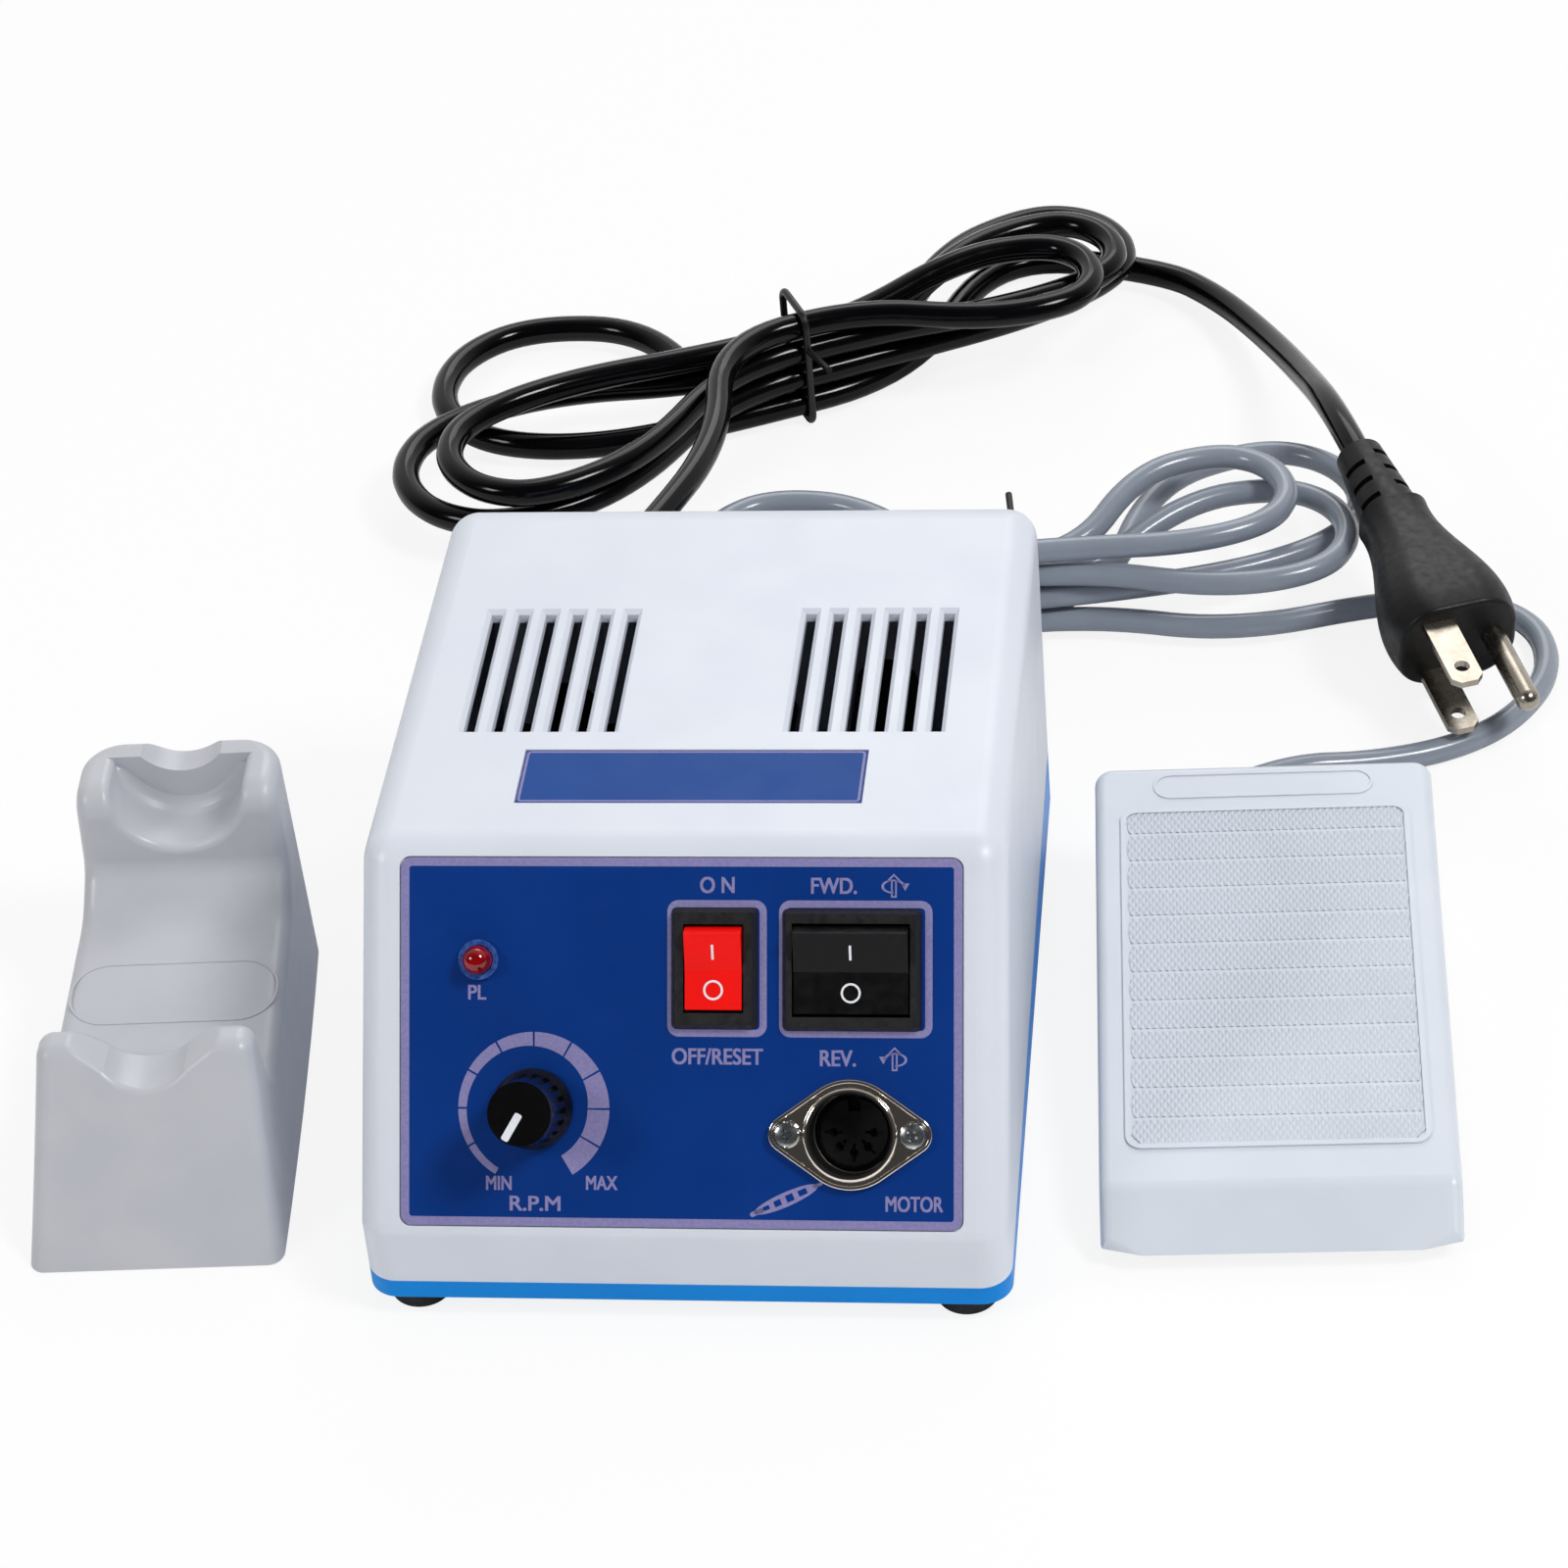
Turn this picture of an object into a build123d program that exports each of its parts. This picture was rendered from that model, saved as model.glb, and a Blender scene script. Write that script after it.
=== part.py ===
from build123d import *
from math import atan2, cos, degrees, dist, pi, radians, sin, sqrt, tan
import os

# Dental laboratory micromotor set: control box, foot pedal, handpiece rest and both cords.
# Millimetres. The origin lies on the bench under the middle of the standing pieces,
# +X runs to the control box's right-hand side, +Y to its rear and +Z up.

os.makedirs("parts", exist_ok=True)

# Sizes of the control box
front_half = 56.5
rear_half = 55.5
box_depth = 148.0
box_top = 73.3
foot_height = 4.5
wall = 2.5
parting_front = 8.3
parting_rear = 17.0
band_top = 19.9
panel_lean = 37.5
side_radius = 5.5
band_radius = 3.0
crease_radius = 7.0
rear_radius = 9.0
overrun = 2.0
slip = 0.1
running = 0.05
level_share = 0.001
bend_share = 0.45

# Places of the three standing items: the set's middle, then each item from the box's front
middle_from_box_x = 5.49
middle_from_box_y = 76.66
rest_from_box_x = -97.1
rest_from_box_y = 10.5
rest_turn = 3.8
pedal_from_box_x = 102.6
pedal_from_box_y = 14.2
pedal_turn = 2.75

box_x = -middle_from_box_x
box_y = -middle_from_box_y
box_rear = box_y + box_depth

# Planes that the control box is drawn on
box_floor = Plane(origin=(box_x, box_y, 0))
box_side = Plane(origin=(box_x, box_y, 0), x_dir=(0, 1, 0), z_dir=(1, 0, 0))
rear_face = Plane(origin=(box_x, box_rear, 0), x_dir=(-1, 0, 0), z_dir=(0, 1, 0))
lean = radians(panel_lean)
panel_out = (0, -cos(lean), sin(lean))
panel_up = (0, sin(lean), cos(lean))
panel_foot = Plane(origin=(box_x, box_y, band_top), x_dir=(1, 0, 0), z_dir=panel_out)
crease_y = (box_top - band_top) * tan(lean)
parting_rise = atan2(parting_rear - parting_front, box_depth)
parting_out = (0, -sin(parting_rise), cos(parting_rise))
parting = Plane(origin=(box_x, box_y, parting_front), x_dir=(1, 0, 0), z_dir=parting_out)
floor_top = foot_height + wall

# Front label, its recess, and the places of the controls from the label's middle
label_width = 97.4
label_height = 63.5
label_corner = 2.0
label_up = 33.0
label_recess = 0.7
label_thick = 0.5
label_fit = 0.2
label_face = label_thick - label_recess
power_right, power_up = 6.0, 12.8
turning_right, turning_up = 29.7, 12.6
lamp_right, lamp_up = -35.0, 14.1
dial_right, dial_up = -25.4, -11.5
motor_right, motor_up = 29.5, -15.5

# Rocker switches
power_bezel = (15.0, 21.0)
power_rocker_width = 9.8
power_rocker_reach = 7.3
turning_bezel = (24.0, 21.0)
turning_rocker_width = 19.7
turning_rocker_reach = 7.7
bezel_rise = 1.8
bezel_corner = 1.0
bezel_slope = 25.0
bezel_rim = 2.0
rocker_gap = 0.3
rocker_sink = 2.0
rocker_tilt = 9.0
rocker_top_angle = 24.9
rocker_low_angle = 25.0
rocker_valley = 2.0
pivot_radius = 1.0
pivot_length = 0.8
well_depth = 6.8
case_depth = 15.0
spade_width = 4.8
spade_thick = 0.8
spade_length = 8.0
spade_step = 5.2

# Pilot lamp
lens_radius = 2.5
lens_rise = 1.2
lens_flange_radius = 2.9
lens_flange = 1.0
sleeve_radius = 2.95
sleeve_rim_radius = 3.5
sleeve_rim = 0.9
sleeve_length = 6.0

# Speed control
pot_radius = 8.5
pot_depth = 9.5
bush_radius = 3.5
bush_length = 4.4
nut_flats = 9.0
nut_thick = 1.8
shaft_radius = 3.0
shaft_length = 15.0
shaft_in_pot = 6.0
knob_lift = 0.6
knob_height = 14.0
knob_skirt_radius = 7.0
knob_skirt_height = 2.6
knob_waist_radius = 6.1
knob_cap_radius = 5.5
knob_recess_radius = 5.6
knob_recess = 2.4
knob_edge = 0.5
flute_count = 18
flute_radius = 0.5
pointer_width = 1.3
pointer_inner = 1.0
pointer_proud = 0.15
pointer_depth = 0.5
pointer_rest_angle = 210.0

# Motor socket
bore_radius = 7.45
bore_depth = 8.0
flange_middle_radius = 9.5
flange_ear_radius = 3.3
flange_ear_reach = 10.8
flange_thick = 1.0
ring_radius = 8.2
ring_rise = 1.0
ring_edge_share = 0.8
shell_radius = 8.1
insert_length = 4.0
insert_face_radius = 5.8
insert_step = 2.6
lip = 0.6
lip_thick = 0.8
key_width = 2.1
key_depth = 2.2
pin_circle = 3.5
pin_hole_radius = 0.8
pin_holes = 5
pin_slot_length = 3.2
pin_slot_width = 0.55
pin_slot_depth = 1.2
contact_sink = 1.8
contact_length = 6.0
contact_wall = 0.25
socket_screw_radius = 1.4
socket_head_radius = 2.4
socket_head = 1.5
socket_screw_length = 5.0

# Top label and vents
strip_width = 60.6
strip_depth = 15.0
strip_y = 59.85
strip_recess = 0.4
strip_thick = 0.3
vent_length = 36.0
vent_width = 2.0
vent_pitch = 5.05
vent_count = 6
vent_y = 91.5
vent_outer = 42.7
vent_bevel = 0.8
bevel_slope = 45.0

# Screw posts, case screws and feet
post_x = 44.0
post_inset = 15.5
post_radius = 4.0
case_screw_radius = 1.5
case_screw_length = 18.0
case_head_radius = 3.0
case_head = 1.6
foot_x = 48.2
foot_inset = 7.2
foot_radius = 5.5
foot_pocket_radius = 2.5
foot_pocket = 1.2
foot_edge = 0.8

# Rear wall: mains inlet, pedal socket and fuse
inlet_x, inlet_z = -38.0, 24.0
inlet_flange_radius = 7.0
inlet_flange = 2.5
inlet_neck_radius = 5.4
inlet_lock_radius = 6.6
boot_root_radius = 5.0
boot_tip_radius = 3.9
boot_length = 26.0
jack_x, jack_z = 2.0, 24.0
jack_radius = 5.0
jack_bore_radius = 3.2
jack_bore = 20.0
jack_flange_radius = 7.5
jack_flange = 1.5
jack_body_length = 22.0
plug_pin_radius = 3.15
plug_pin_length = 18.0
plug_body_radius = 5.6
plug_body_length = 20.0
plug_tail_radius = 3.4
plug_tail_length = 9.0
fuse_x, fuse_z = 25.0, 30.0
fuse_radius = 6.0
fuse_flange_radius = 7.6
fuse_flange = 2.0
fuse_length = 24.0
fuse_bore_radius = 4.6
fuse_cap_radius = 5.6
fuse_cap_height = 5.0
fuse_slot_width = 1.4
fuse_slot = 1.2

# Transformer and control board inside the box
core_x = 19.5
core_from_rear = 56.0
core_y = box_depth - core_from_rear
core_width = 44.0
core_height = 38.0
core_stack = 24.0
core_limb = 7.5
coil_overhang = 8.0
coil_gap = 0.3
strap_thick = 1.2
strap_width = 18.0
strap_tab = 7.4
strap_screw_radius = 2.0
strap_head_radius = 3.4
strap_head = 1.8
board_x = -33.0
board_width = 36.0
board_front = 46.0
board_from_rear = 20.0
board_length = box_depth - board_from_rear - board_front
board_y = board_front + board_length / 2
board_thick = 1.6
standoff_height = 6.0
standoff_radius = 3.0
standoff_inset = 4.0
board_screw_radius = 1.2
board_head_radius = 2.4
board_head = 1.3
board_screw_length = 6.0
capacitor_radius = 8.0
capacitor_height = 26.0
capacitor_step = 17.0
sink_from_board_rear = 41.0
sink_y = box_depth - board_from_rear - sink_from_board_rear
sink_length = 32.0
sink_width = 14.0
sink_height = 24.0
sink_base = 3.0
sink_fins = 5
sink_fin_share = 0.5


def on_panel(right, up, out=0):
    """Plane parallel to the front panel at a place measured from the label's middle."""
    place = panel_foot.from_local_coords((right, label_up + up, out))
    return Plane(origin=place, x_dir=panel_foot.x_dir, z_dir=panel_foot.z_dir)


def on_rear(right_of_middle, height, out=0):
    """Plane on the rear wall, its normal to the rear, at a place seen from the front."""
    return Plane(
        origin=(box_x + right_of_middle, box_rear + out, height),
        x_dir=rear_face.x_dir,
        z_dir=rear_face.z_dir,
    )


# Moulded form of the box


def box_form(inset):
    """Whole outer form of the control box with every face drawn in by an inset."""
    with BuildPart() as form:
        with BuildSketch(box_floor):
            with BuildLine():
                Polyline(
                    (-front_half, 0),
                    (front_half, 0),
                    (rear_half, box_depth),
                    (-rear_half, box_depth),
                    close=True,
                )
            make_face()
            offset(amount=-inset, kind=Kind.INTERSECTION)
        extrude(amount=box_top)
        with BuildSketch(box_side) as side:
            with BuildLine():
                Polyline(
                    (0, foot_height),
                    (0, band_top),
                    (crease_y, box_top),
                    (box_depth, box_top),
                    (box_depth, foot_height),
                    close=True,
                )
            make_face()
            offset(amount=-inset, kind=Kind.INTERSECTION)
            band_corner = side.vertices().sort_by_distance((0, band_top))[0]
            fillet(band_corner, band_radius - inset)
            crease = side.vertices().sort_by_distance((crease_y, box_top))[0]
            fillet(crease, crease_radius - inset)
            rear_corner = side.vertices().sort_by_distance((box_depth, box_top))[0]
            fillet(rear_corner, rear_radius - inset)
        extrude(amount=front_half, both=True, mode=Mode.INTERSECT)
        flanks = form.faces().sort_by(Axis.X)
        rims = flanks[0].edges() + flanks[-1].edges()
        low = rims.sort_by(Axis.Z)
        fillet(low[2:], side_radius - inset)
    return form.part


outer_form = box_form(0)
inner_form = box_form(wall)

post_places = [
    (side * post_x, y)
    for side in (-1, 1)
    for y in (post_inset, box_depth - post_inset)
]


def panel_openings():
    """Cut-outs that the label and the panel behind it share, about the label's middle."""
    with BuildSketch() as openings:
        with Locations((power_right, power_up)):
            Rectangle(power_bezel[0] - bezel_rim, power_bezel[1] - bezel_rim)
        with Locations((turning_right, turning_up)):
            Rectangle(turning_bezel[0] - bezel_rim, turning_bezel[1] - bezel_rim)
        with Locations((lamp_right, lamp_up)):
            Circle(sleeve_radius + slip)
        with Locations((dial_right, dial_up)):
            Circle(bush_radius + slip)
        with Locations((motor_right, motor_up)):
            Circle(shell_radius + slip)
            with GridLocations(2 * flange_ear_reach, 0, 2, 1):
                Circle(socket_screw_radius + slip)
    return openings.sketch


cut_outs = panel_openings()


def standoff_places():
    """Middles of the four standoffs under the control board."""
    reach_x = board_width / 2 - standoff_inset
    reach_y = board_length / 2 - standoff_inset
    return [
        (board_x + side * reach_x, board_y + end * reach_y)
        for side in (-1, 1)
        for end in (-1, 1)
    ]


def vent_places():
    """Middles of the vent slots, two groups of like count beside the middle."""
    return [
        (side * (vent_outer - vent_width / 2 - step * vent_pitch), vent_y)
        for side in (-1, 1)
        for step in range(vent_count)
    ]


with BuildPart() as cover_posts:
    with BuildSketch(box_floor.offset(floor_top)):
        with Locations(*post_places):
            Circle(post_radius)
    extrude(amount=box_top - floor_top)
    add(outer_form, mode=Mode.INTERSECT)

with BuildPart() as top_cover:
    add(outer_form)
    add(inner_form, mode=Mode.SUBTRACT)
    split(bisect_by=parting, keep=Keep.TOP)
    add(cover_posts.part)
    # Pilot holes for the case screws
    with BuildSketch(box_floor.offset(floor_top)):
        with Locations(*post_places):
            Circle(case_screw_radius + slip)
    extrude(amount=case_screw_length, mode=Mode.SUBTRACT)
    # Recess of the front label and the openings behind it
    with BuildSketch(on_panel(0, 0)):
        RectangleRounded(label_width + 2 * label_fit, label_height + 2 * label_fit, label_corner)
    extrude(amount=-label_recess, mode=Mode.SUBTRACT)
    with BuildSketch(on_panel(0, 0)):
        add(cut_outs)
    extrude(amount=-wall - overrun, mode=Mode.SUBTRACT)
    # Recess of the top label
    with BuildSketch(box_floor.offset(box_top)):
        with Locations((0, strip_y)):
            Rectangle(strip_width + 2 * label_fit, strip_depth + 2 * label_fit)
    extrude(amount=-strip_recess, mode=Mode.SUBTRACT)
    # Vents with bevelled mouths
    with BuildSketch(box_floor.offset(box_top)):
        with Locations(*vent_places()):
            Rectangle(vent_width, vent_length)
    extrude(amount=-wall - overrun, mode=Mode.SUBTRACT)
    with BuildSketch(box_floor.offset(box_top)):
        with Locations(*vent_places()):
            Rectangle(vent_width + 2 * vent_bevel, vent_length + 2 * vent_bevel)
    extrude(amount=-vent_bevel, taper=bevel_slope, mode=Mode.SUBTRACT)
    # Rear wall openings
    for x, z, radius in (
        (inlet_x, inlet_z, inlet_neck_radius),
        (jack_x, jack_z, jack_radius),
        (fuse_x, fuse_z, fuse_radius),
    ):
        with BuildSketch(on_rear(x, z, overrun)):
            Circle(radius + slip)
        extrude(amount=-wall - 2 * overrun, mode=Mode.SUBTRACT)

with BuildPart() as base_tray:
    add(outer_form)
    add(inner_form, mode=Mode.SUBTRACT)
    split(bisect_by=parting, keep=Keep.BOTTOM)
    # Board standoffs
    with BuildSketch(box_floor.offset(floor_top)):
        with Locations(*standoff_places()):
            Circle(standoff_radius)
    extrude(amount=standoff_height)
    with BuildSketch(box_floor.offset(floor_top + standoff_height)):
        with Locations(*standoff_places()):
            Circle(board_screw_radius + slip)
    extrude(amount=-board_screw_length, mode=Mode.SUBTRACT)
    # Holes for the case screws and the transformer screws
    with BuildSketch(box_floor.offset(foot_height)):
        with Locations(*post_places):
            Circle(case_screw_radius + slip)
        with Locations((core_x, core_y)):
            with GridLocations(core_width + 2 * strap_thick + strap_tab, 0, 2, 1):
                Circle(strap_screw_radius + slip)
    extrude(amount=wall, mode=Mode.SUBTRACT)

# Labels

with BuildPart() as front_panel_label:
    with BuildSketch(on_panel(0, 0, -label_recess)):
        RectangleRounded(label_width, label_height, label_corner)
        add(cut_outs, mode=Mode.SUBTRACT)
    extrude(amount=label_thick)

with BuildPart() as top_strip_label:
    with BuildSketch(box_floor.offset(box_top - strip_recess)):
        with Locations((0, strip_y)):
            Rectangle(strip_width, strip_depth)
    extrude(amount=strip_thick)

# Feet and case screws

foot_places = [
    (side * foot_x, y)
    for side in (-1, 1)
    for y in (foot_inset, box_depth - foot_inset)
]

with BuildPart() as rubber_feet:
    with BuildSketch(box_floor):
        with Locations(*foot_places):
            Circle(foot_radius)
    extrude(amount=foot_height)
    with BuildSketch(box_floor):
        with Locations(*foot_places):
            Circle(foot_pocket_radius)
    extrude(amount=foot_pocket, mode=Mode.SUBTRACT)
    rims = rubber_feet.edges().filter_by(GeomType.CIRCLE)
    low_rims = rims.group_by(Axis.Z)[0]
    fillet([rim for rim in low_rims if rim.radius > foot_pocket_radius + slip], foot_edge)

with BuildPart() as case_screws:
    with BuildSketch(box_floor.offset(foot_height)):
        with Locations(*post_places):
            Circle(case_head_radius)
    extrude(amount=-case_head)
    with BuildSketch(box_floor.offset(foot_height)):
        with Locations(*post_places):
            Circle(case_screw_radius)
    extrude(amount=case_screw_length)

# Rocker switches


def switch_housing(place, bezel, well_width, well_height):
    """Housing of a rocker switch: bezel on the label, case behind it, well for the rocker."""
    pivot = place.offset(bezel_rise - rocker_sink)
    across = Plane(origin=pivot.origin, x_dir=panel_up, z_dir=(1, 0, 0))
    with BuildPart() as housing:
        with BuildSketch(place):
            RectangleRounded(bezel[0], bezel[1], bezel_corner)
        extrude(amount=bezel_rise, taper=bezel_slope)
        with BuildSketch(place):
            Rectangle(bezel[0] - bezel_rim - slip, bezel[1] - bezel_rim - slip)
        extrude(amount=-case_depth)
        with BuildSketch(place.offset(bezel_rise)):
            Rectangle(well_width, well_height)
        extrude(amount=-well_depth, mode=Mode.SUBTRACT)
        with BuildSketch(across):
            Circle(pivot_radius + running)
        extrude(
            amount=well_width / 2 + pivot_length + running, both=True, mode=Mode.SUBTRACT
        )
        with BuildSketch(place.offset(-case_depth)):
            with GridLocations(0, spade_step, 1, 3):
                Rectangle(spade_width, spade_thick)
        extrude(amount=-spade_length)
    return housing.part


def switch_rocker(place, width, reach):
    """Rocker in its off place, its foot end pressed and its head end standing out."""
    pivot = place.offset(bezel_rise - rocker_sink)
    across = Plane(origin=pivot.origin, x_dir=panel_up, z_dir=(1, 0, 0))
    tilt = radians(rocker_tilt)
    tilted_up = Vector(panel_up) * cos(tilt) + Vector(panel_out) * sin(tilt)
    tilted = Plane(origin=pivot.origin, x_dir=tilted_up, z_dir=(1, 0, 0))
    top_x = reach * cos(radians(rocker_top_angle))
    top_y = reach * sin(radians(rocker_top_angle))
    low_x = reach * cos(radians(rocker_low_angle))
    low_y = -reach * sin(radians(rocker_low_angle))
    with BuildPart() as rocker:
        with BuildSketch(tilted):
            with BuildLine():
                Polyline((-top_x, top_y), (0, rocker_valley), (top_x, top_y))
                ThreePointArc((top_x, top_y), (reach, 0), (low_x, low_y))
                Line((low_x, low_y), (-low_x, low_y))
                ThreePointArc((-low_x, low_y), (-reach, 0), (-top_x, top_y))
            make_face()
        extrude(amount=width / 2, both=True)
        with BuildSketch(across):
            Circle(pivot_radius)
        extrude(amount=width / 2 + rocker_gap + pivot_length - running, both=True)
    return rocker.part


power_place = on_panel(power_right, power_up, label_face)
power_switch_housing = switch_housing(
    power_place,
    power_bezel,
    power_rocker_width + 2 * rocker_gap,
    2 * (power_rocker_reach + rocker_gap),
)
power_rocker = switch_rocker(power_place, power_rocker_width, power_rocker_reach)

turning_place = on_panel(turning_right, turning_up, label_face)
direction_switch_housing = switch_housing(
    turning_place,
    turning_bezel,
    turning_rocker_width + 2 * rocker_gap,
    2 * (turning_rocker_reach + rocker_gap),
)
direction_rocker = switch_rocker(turning_place, turning_rocker_width, turning_rocker_reach)

# Pilot lamp

with BuildPart() as led_holder:
    with BuildSketch(on_panel(lamp_right, lamp_up, label_face)):
        Circle(sleeve_rim_radius)
    extrude(amount=sleeve_rim)
    with BuildSketch(on_panel(lamp_right, lamp_up, label_face)):
        Circle(sleeve_radius)
    extrude(amount=-sleeve_length)
    with BuildSketch(on_panel(lamp_right, lamp_up, label_face + sleeve_rim)):
        Circle(lens_radius + slip)
    extrude(amount=-sleeve_rim - sleeve_length, mode=Mode.SUBTRACT)

with BuildPart() as led_lens:
    with BuildSketch(on_panel(lamp_right, lamp_up, label_face - sleeve_length)):
        Circle(lens_radius)
    extrude(amount=sleeve_length + sleeve_rim + lens_rise)
    with BuildSketch(on_panel(lamp_right, lamp_up, label_face - sleeve_length)):
        Circle(lens_flange_radius)
    extrude(amount=-lens_flange)
    with Locations(on_panel(lamp_right, lamp_up, label_face + sleeve_rim + lens_rise)):
        Sphere(lens_radius)

# Speed control

panel_inner = -wall

with BuildPart() as potentiometer_body:
    with BuildSketch(on_panel(dial_right, dial_up, panel_inner)):
        Circle(pot_radius)
    extrude(amount=-pot_depth)
    with BuildSketch(on_panel(dial_right, dial_up, panel_inner)):
        Circle(bush_radius)
    extrude(amount=bush_length)
    with BuildSketch(on_panel(dial_right, dial_up, panel_inner + bush_length)):
        Circle(shaft_radius + running)
    extrude(amount=-bush_length - shaft_in_pot, mode=Mode.SUBTRACT)

with BuildPart() as potentiometer_nut:
    with BuildSketch(on_panel(dial_right, dial_up, label_face)):
        RegularPolygon(nut_flats / 2, 6, major_radius=False)
        Circle(bush_radius + running, mode=Mode.SUBTRACT)
    extrude(amount=nut_thick)

shaft_foot = panel_inner - shaft_in_pot
with BuildPart() as potentiometer_shaft:
    with BuildSketch(on_panel(dial_right, dial_up, shaft_foot)):
        Circle(shaft_radius)
    extrude(amount=shaft_length)

knob_foot = label_face + knob_lift
knob_head = knob_foot + knob_height
pointer_angle = radians(90 - pointer_rest_angle)
pointer_reach = knob_cap_radius - knob_edge
pointer_middle = (pointer_inner + pointer_reach) / 2
pointer_length = pointer_reach - pointer_inner


def pointer_bar():
    """Outline of the pointer on the knob's cap, turned to the dial's lowest mark."""
    with BuildSketch() as bar:
        with Locations(
            Location(
                (pointer_middle * cos(pointer_angle), pointer_middle * sin(pointer_angle)),
                degrees(pointer_angle),
            )
        ):
            Rectangle(pointer_length, pointer_width)
    return bar.sketch


with BuildPart() as speed_knob:
    dial_axis = on_panel(dial_right, dial_up, knob_foot)
    with BuildSketch(Plane(origin=dial_axis.origin, x_dir=(1, 0, 0), z_dir=(0, -sin(lean), -cos(lean)))):
        with BuildLine():
            Polyline(
                (0, 0),
                (knob_skirt_radius, 0),
                (knob_skirt_radius, knob_skirt_height / 2),
                (knob_waist_radius, knob_skirt_height),
                (knob_cap_radius, knob_height),
                (0, knob_height),
                close=True,
            )
        make_face()
    revolve(axis=Axis(dial_axis.origin, panel_out))
    with BuildSketch(dial_axis.offset(knob_skirt_height)):
        with PolarLocations(knob_waist_radius, flute_count):
            Circle(flute_radius)
    extrude(amount=knob_height - knob_skirt_height - 2 * knob_edge, mode=Mode.SUBTRACT)
    with BuildSketch(dial_axis):
        Circle(knob_recess_radius)
    extrude(amount=knob_recess, mode=Mode.SUBTRACT)
    with BuildSketch(dial_axis):
        Circle(shaft_radius + slip / 2)
    extrude(amount=shaft_foot + shaft_length - knob_foot + slip, mode=Mode.SUBTRACT)
    with BuildSketch(dial_axis.offset(knob_height)):
        add(pointer_bar())
    extrude(amount=-pointer_depth, mode=Mode.SUBTRACT)

with BuildPart() as knob_pointer:
    with BuildSketch(on_panel(dial_right, dial_up, knob_head - pointer_depth)):
        add(pointer_bar())
    extrude(amount=pointer_depth + pointer_proud)

# Motor socket

flange_face = label_face + flange_thick
socket_floor = flange_face + ring_rise - bore_depth
seat_radius = bore_radius - lip


def on_motor(out):
    """Plane on the motor socket's axis at a height over the panel."""
    return on_panel(motor_right, motor_up, out)


with BuildPart() as motor_socket_shell:
    with BuildSketch(on_motor(label_face)):
        with BuildSketch(mode=Mode.PRIVATE) as flange_circles:
            Circle(flange_middle_radius)
            with GridLocations(2 * flange_ear_reach, 0, 2, 1):
                Circle(flange_ear_radius)
        make_hull(flange_circles.edges())
        with GridLocations(2 * flange_ear_reach, 0, 2, 1):
            Circle(socket_screw_radius + slip, mode=Mode.SUBTRACT)
    extrude(amount=flange_thick)
    with BuildSketch(on_motor(flange_face)):
        Circle(ring_radius)
    extrude(amount=ring_rise)
    ring_rims = motor_socket_shell.edges().filter_by(GeomType.CIRCLE)
    outer_rim = ring_rims.sort_by(Axis(dial_axis.origin, panel_out))[-1]
    fillet(outer_rim, ring_rise * ring_edge_share)
    with BuildSketch(on_motor(label_face)):
        Circle(shell_radius)
    extrude(amount=socket_floor - insert_length - lip_thick - label_face)
    with BuildSketch(on_motor(flange_face + ring_rise)):
        Circle(bore_radius)
    extrude(amount=-bore_depth, mode=Mode.SUBTRACT)
    with BuildSketch(on_motor(flange_face + ring_rise)):
        Circle(seat_radius)
    extrude(amount=-bore_depth - insert_length, mode=Mode.SUBTRACT)
    with BuildSketch(on_motor(flange_face + ring_rise)):
        Circle(seat_radius - lip)
    extrude(amount=-bore_depth - insert_length - lip_thick - overrun, mode=Mode.SUBTRACT)


pin_start = 180.0
pin_span = 180.0


with BuildPart() as motor_socket_insert:
    with BuildSketch(on_motor(socket_floor - insert_length)):
        Circle(seat_radius - running)
        with PolarLocations(pin_circle, pin_holes, pin_start, pin_span, endpoint=True):
            Circle(pin_hole_radius, mode=Mode.SUBTRACT)
    extrude(amount=insert_length)
    # Step round the face for a plug's sleeve, and the notch for its key
    with BuildSketch(on_motor(socket_floor)):
        Circle(bore_radius)
        Circle(insert_face_radius, mode=Mode.SUBTRACT)
        with Locations((0, insert_face_radius)):
            Rectangle(key_width, 2 * key_depth)
    extrude(amount=-insert_step, mode=Mode.SUBTRACT)
    # Wide mouths of the contact holes
    with BuildSketch(on_motor(socket_floor)):
        with PolarLocations(pin_circle, pin_holes, pin_start, pin_span, endpoint=True):
            SlotOverall(pin_slot_length, pin_slot_width)
    extrude(amount=-pin_slot_depth, mode=Mode.SUBTRACT)

with BuildPart() as motor_socket_contacts:
    with BuildSketch(on_motor(socket_floor - contact_sink)):
        with PolarLocations(pin_circle, pin_holes, pin_start, pin_span, endpoint=True):
            Circle(pin_hole_radius - running)
            Circle(pin_hole_radius - running - contact_wall, mode=Mode.SUBTRACT)
    extrude(amount=-contact_length)

with BuildPart() as motor_socket_screws:
    with BuildSketch(on_motor(flange_face)):
        with GridLocations(2 * flange_ear_reach, 0, 2, 1):
            Circle(socket_head_radius)
    extrude(amount=socket_head, taper=bezel_slope)
    with BuildSketch(on_motor(flange_face)):
        with GridLocations(2 * flange_ear_reach, 0, 2, 1):
            Circle(socket_screw_radius)
    extrude(amount=-socket_screw_length)

# Rear wall pieces

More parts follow.
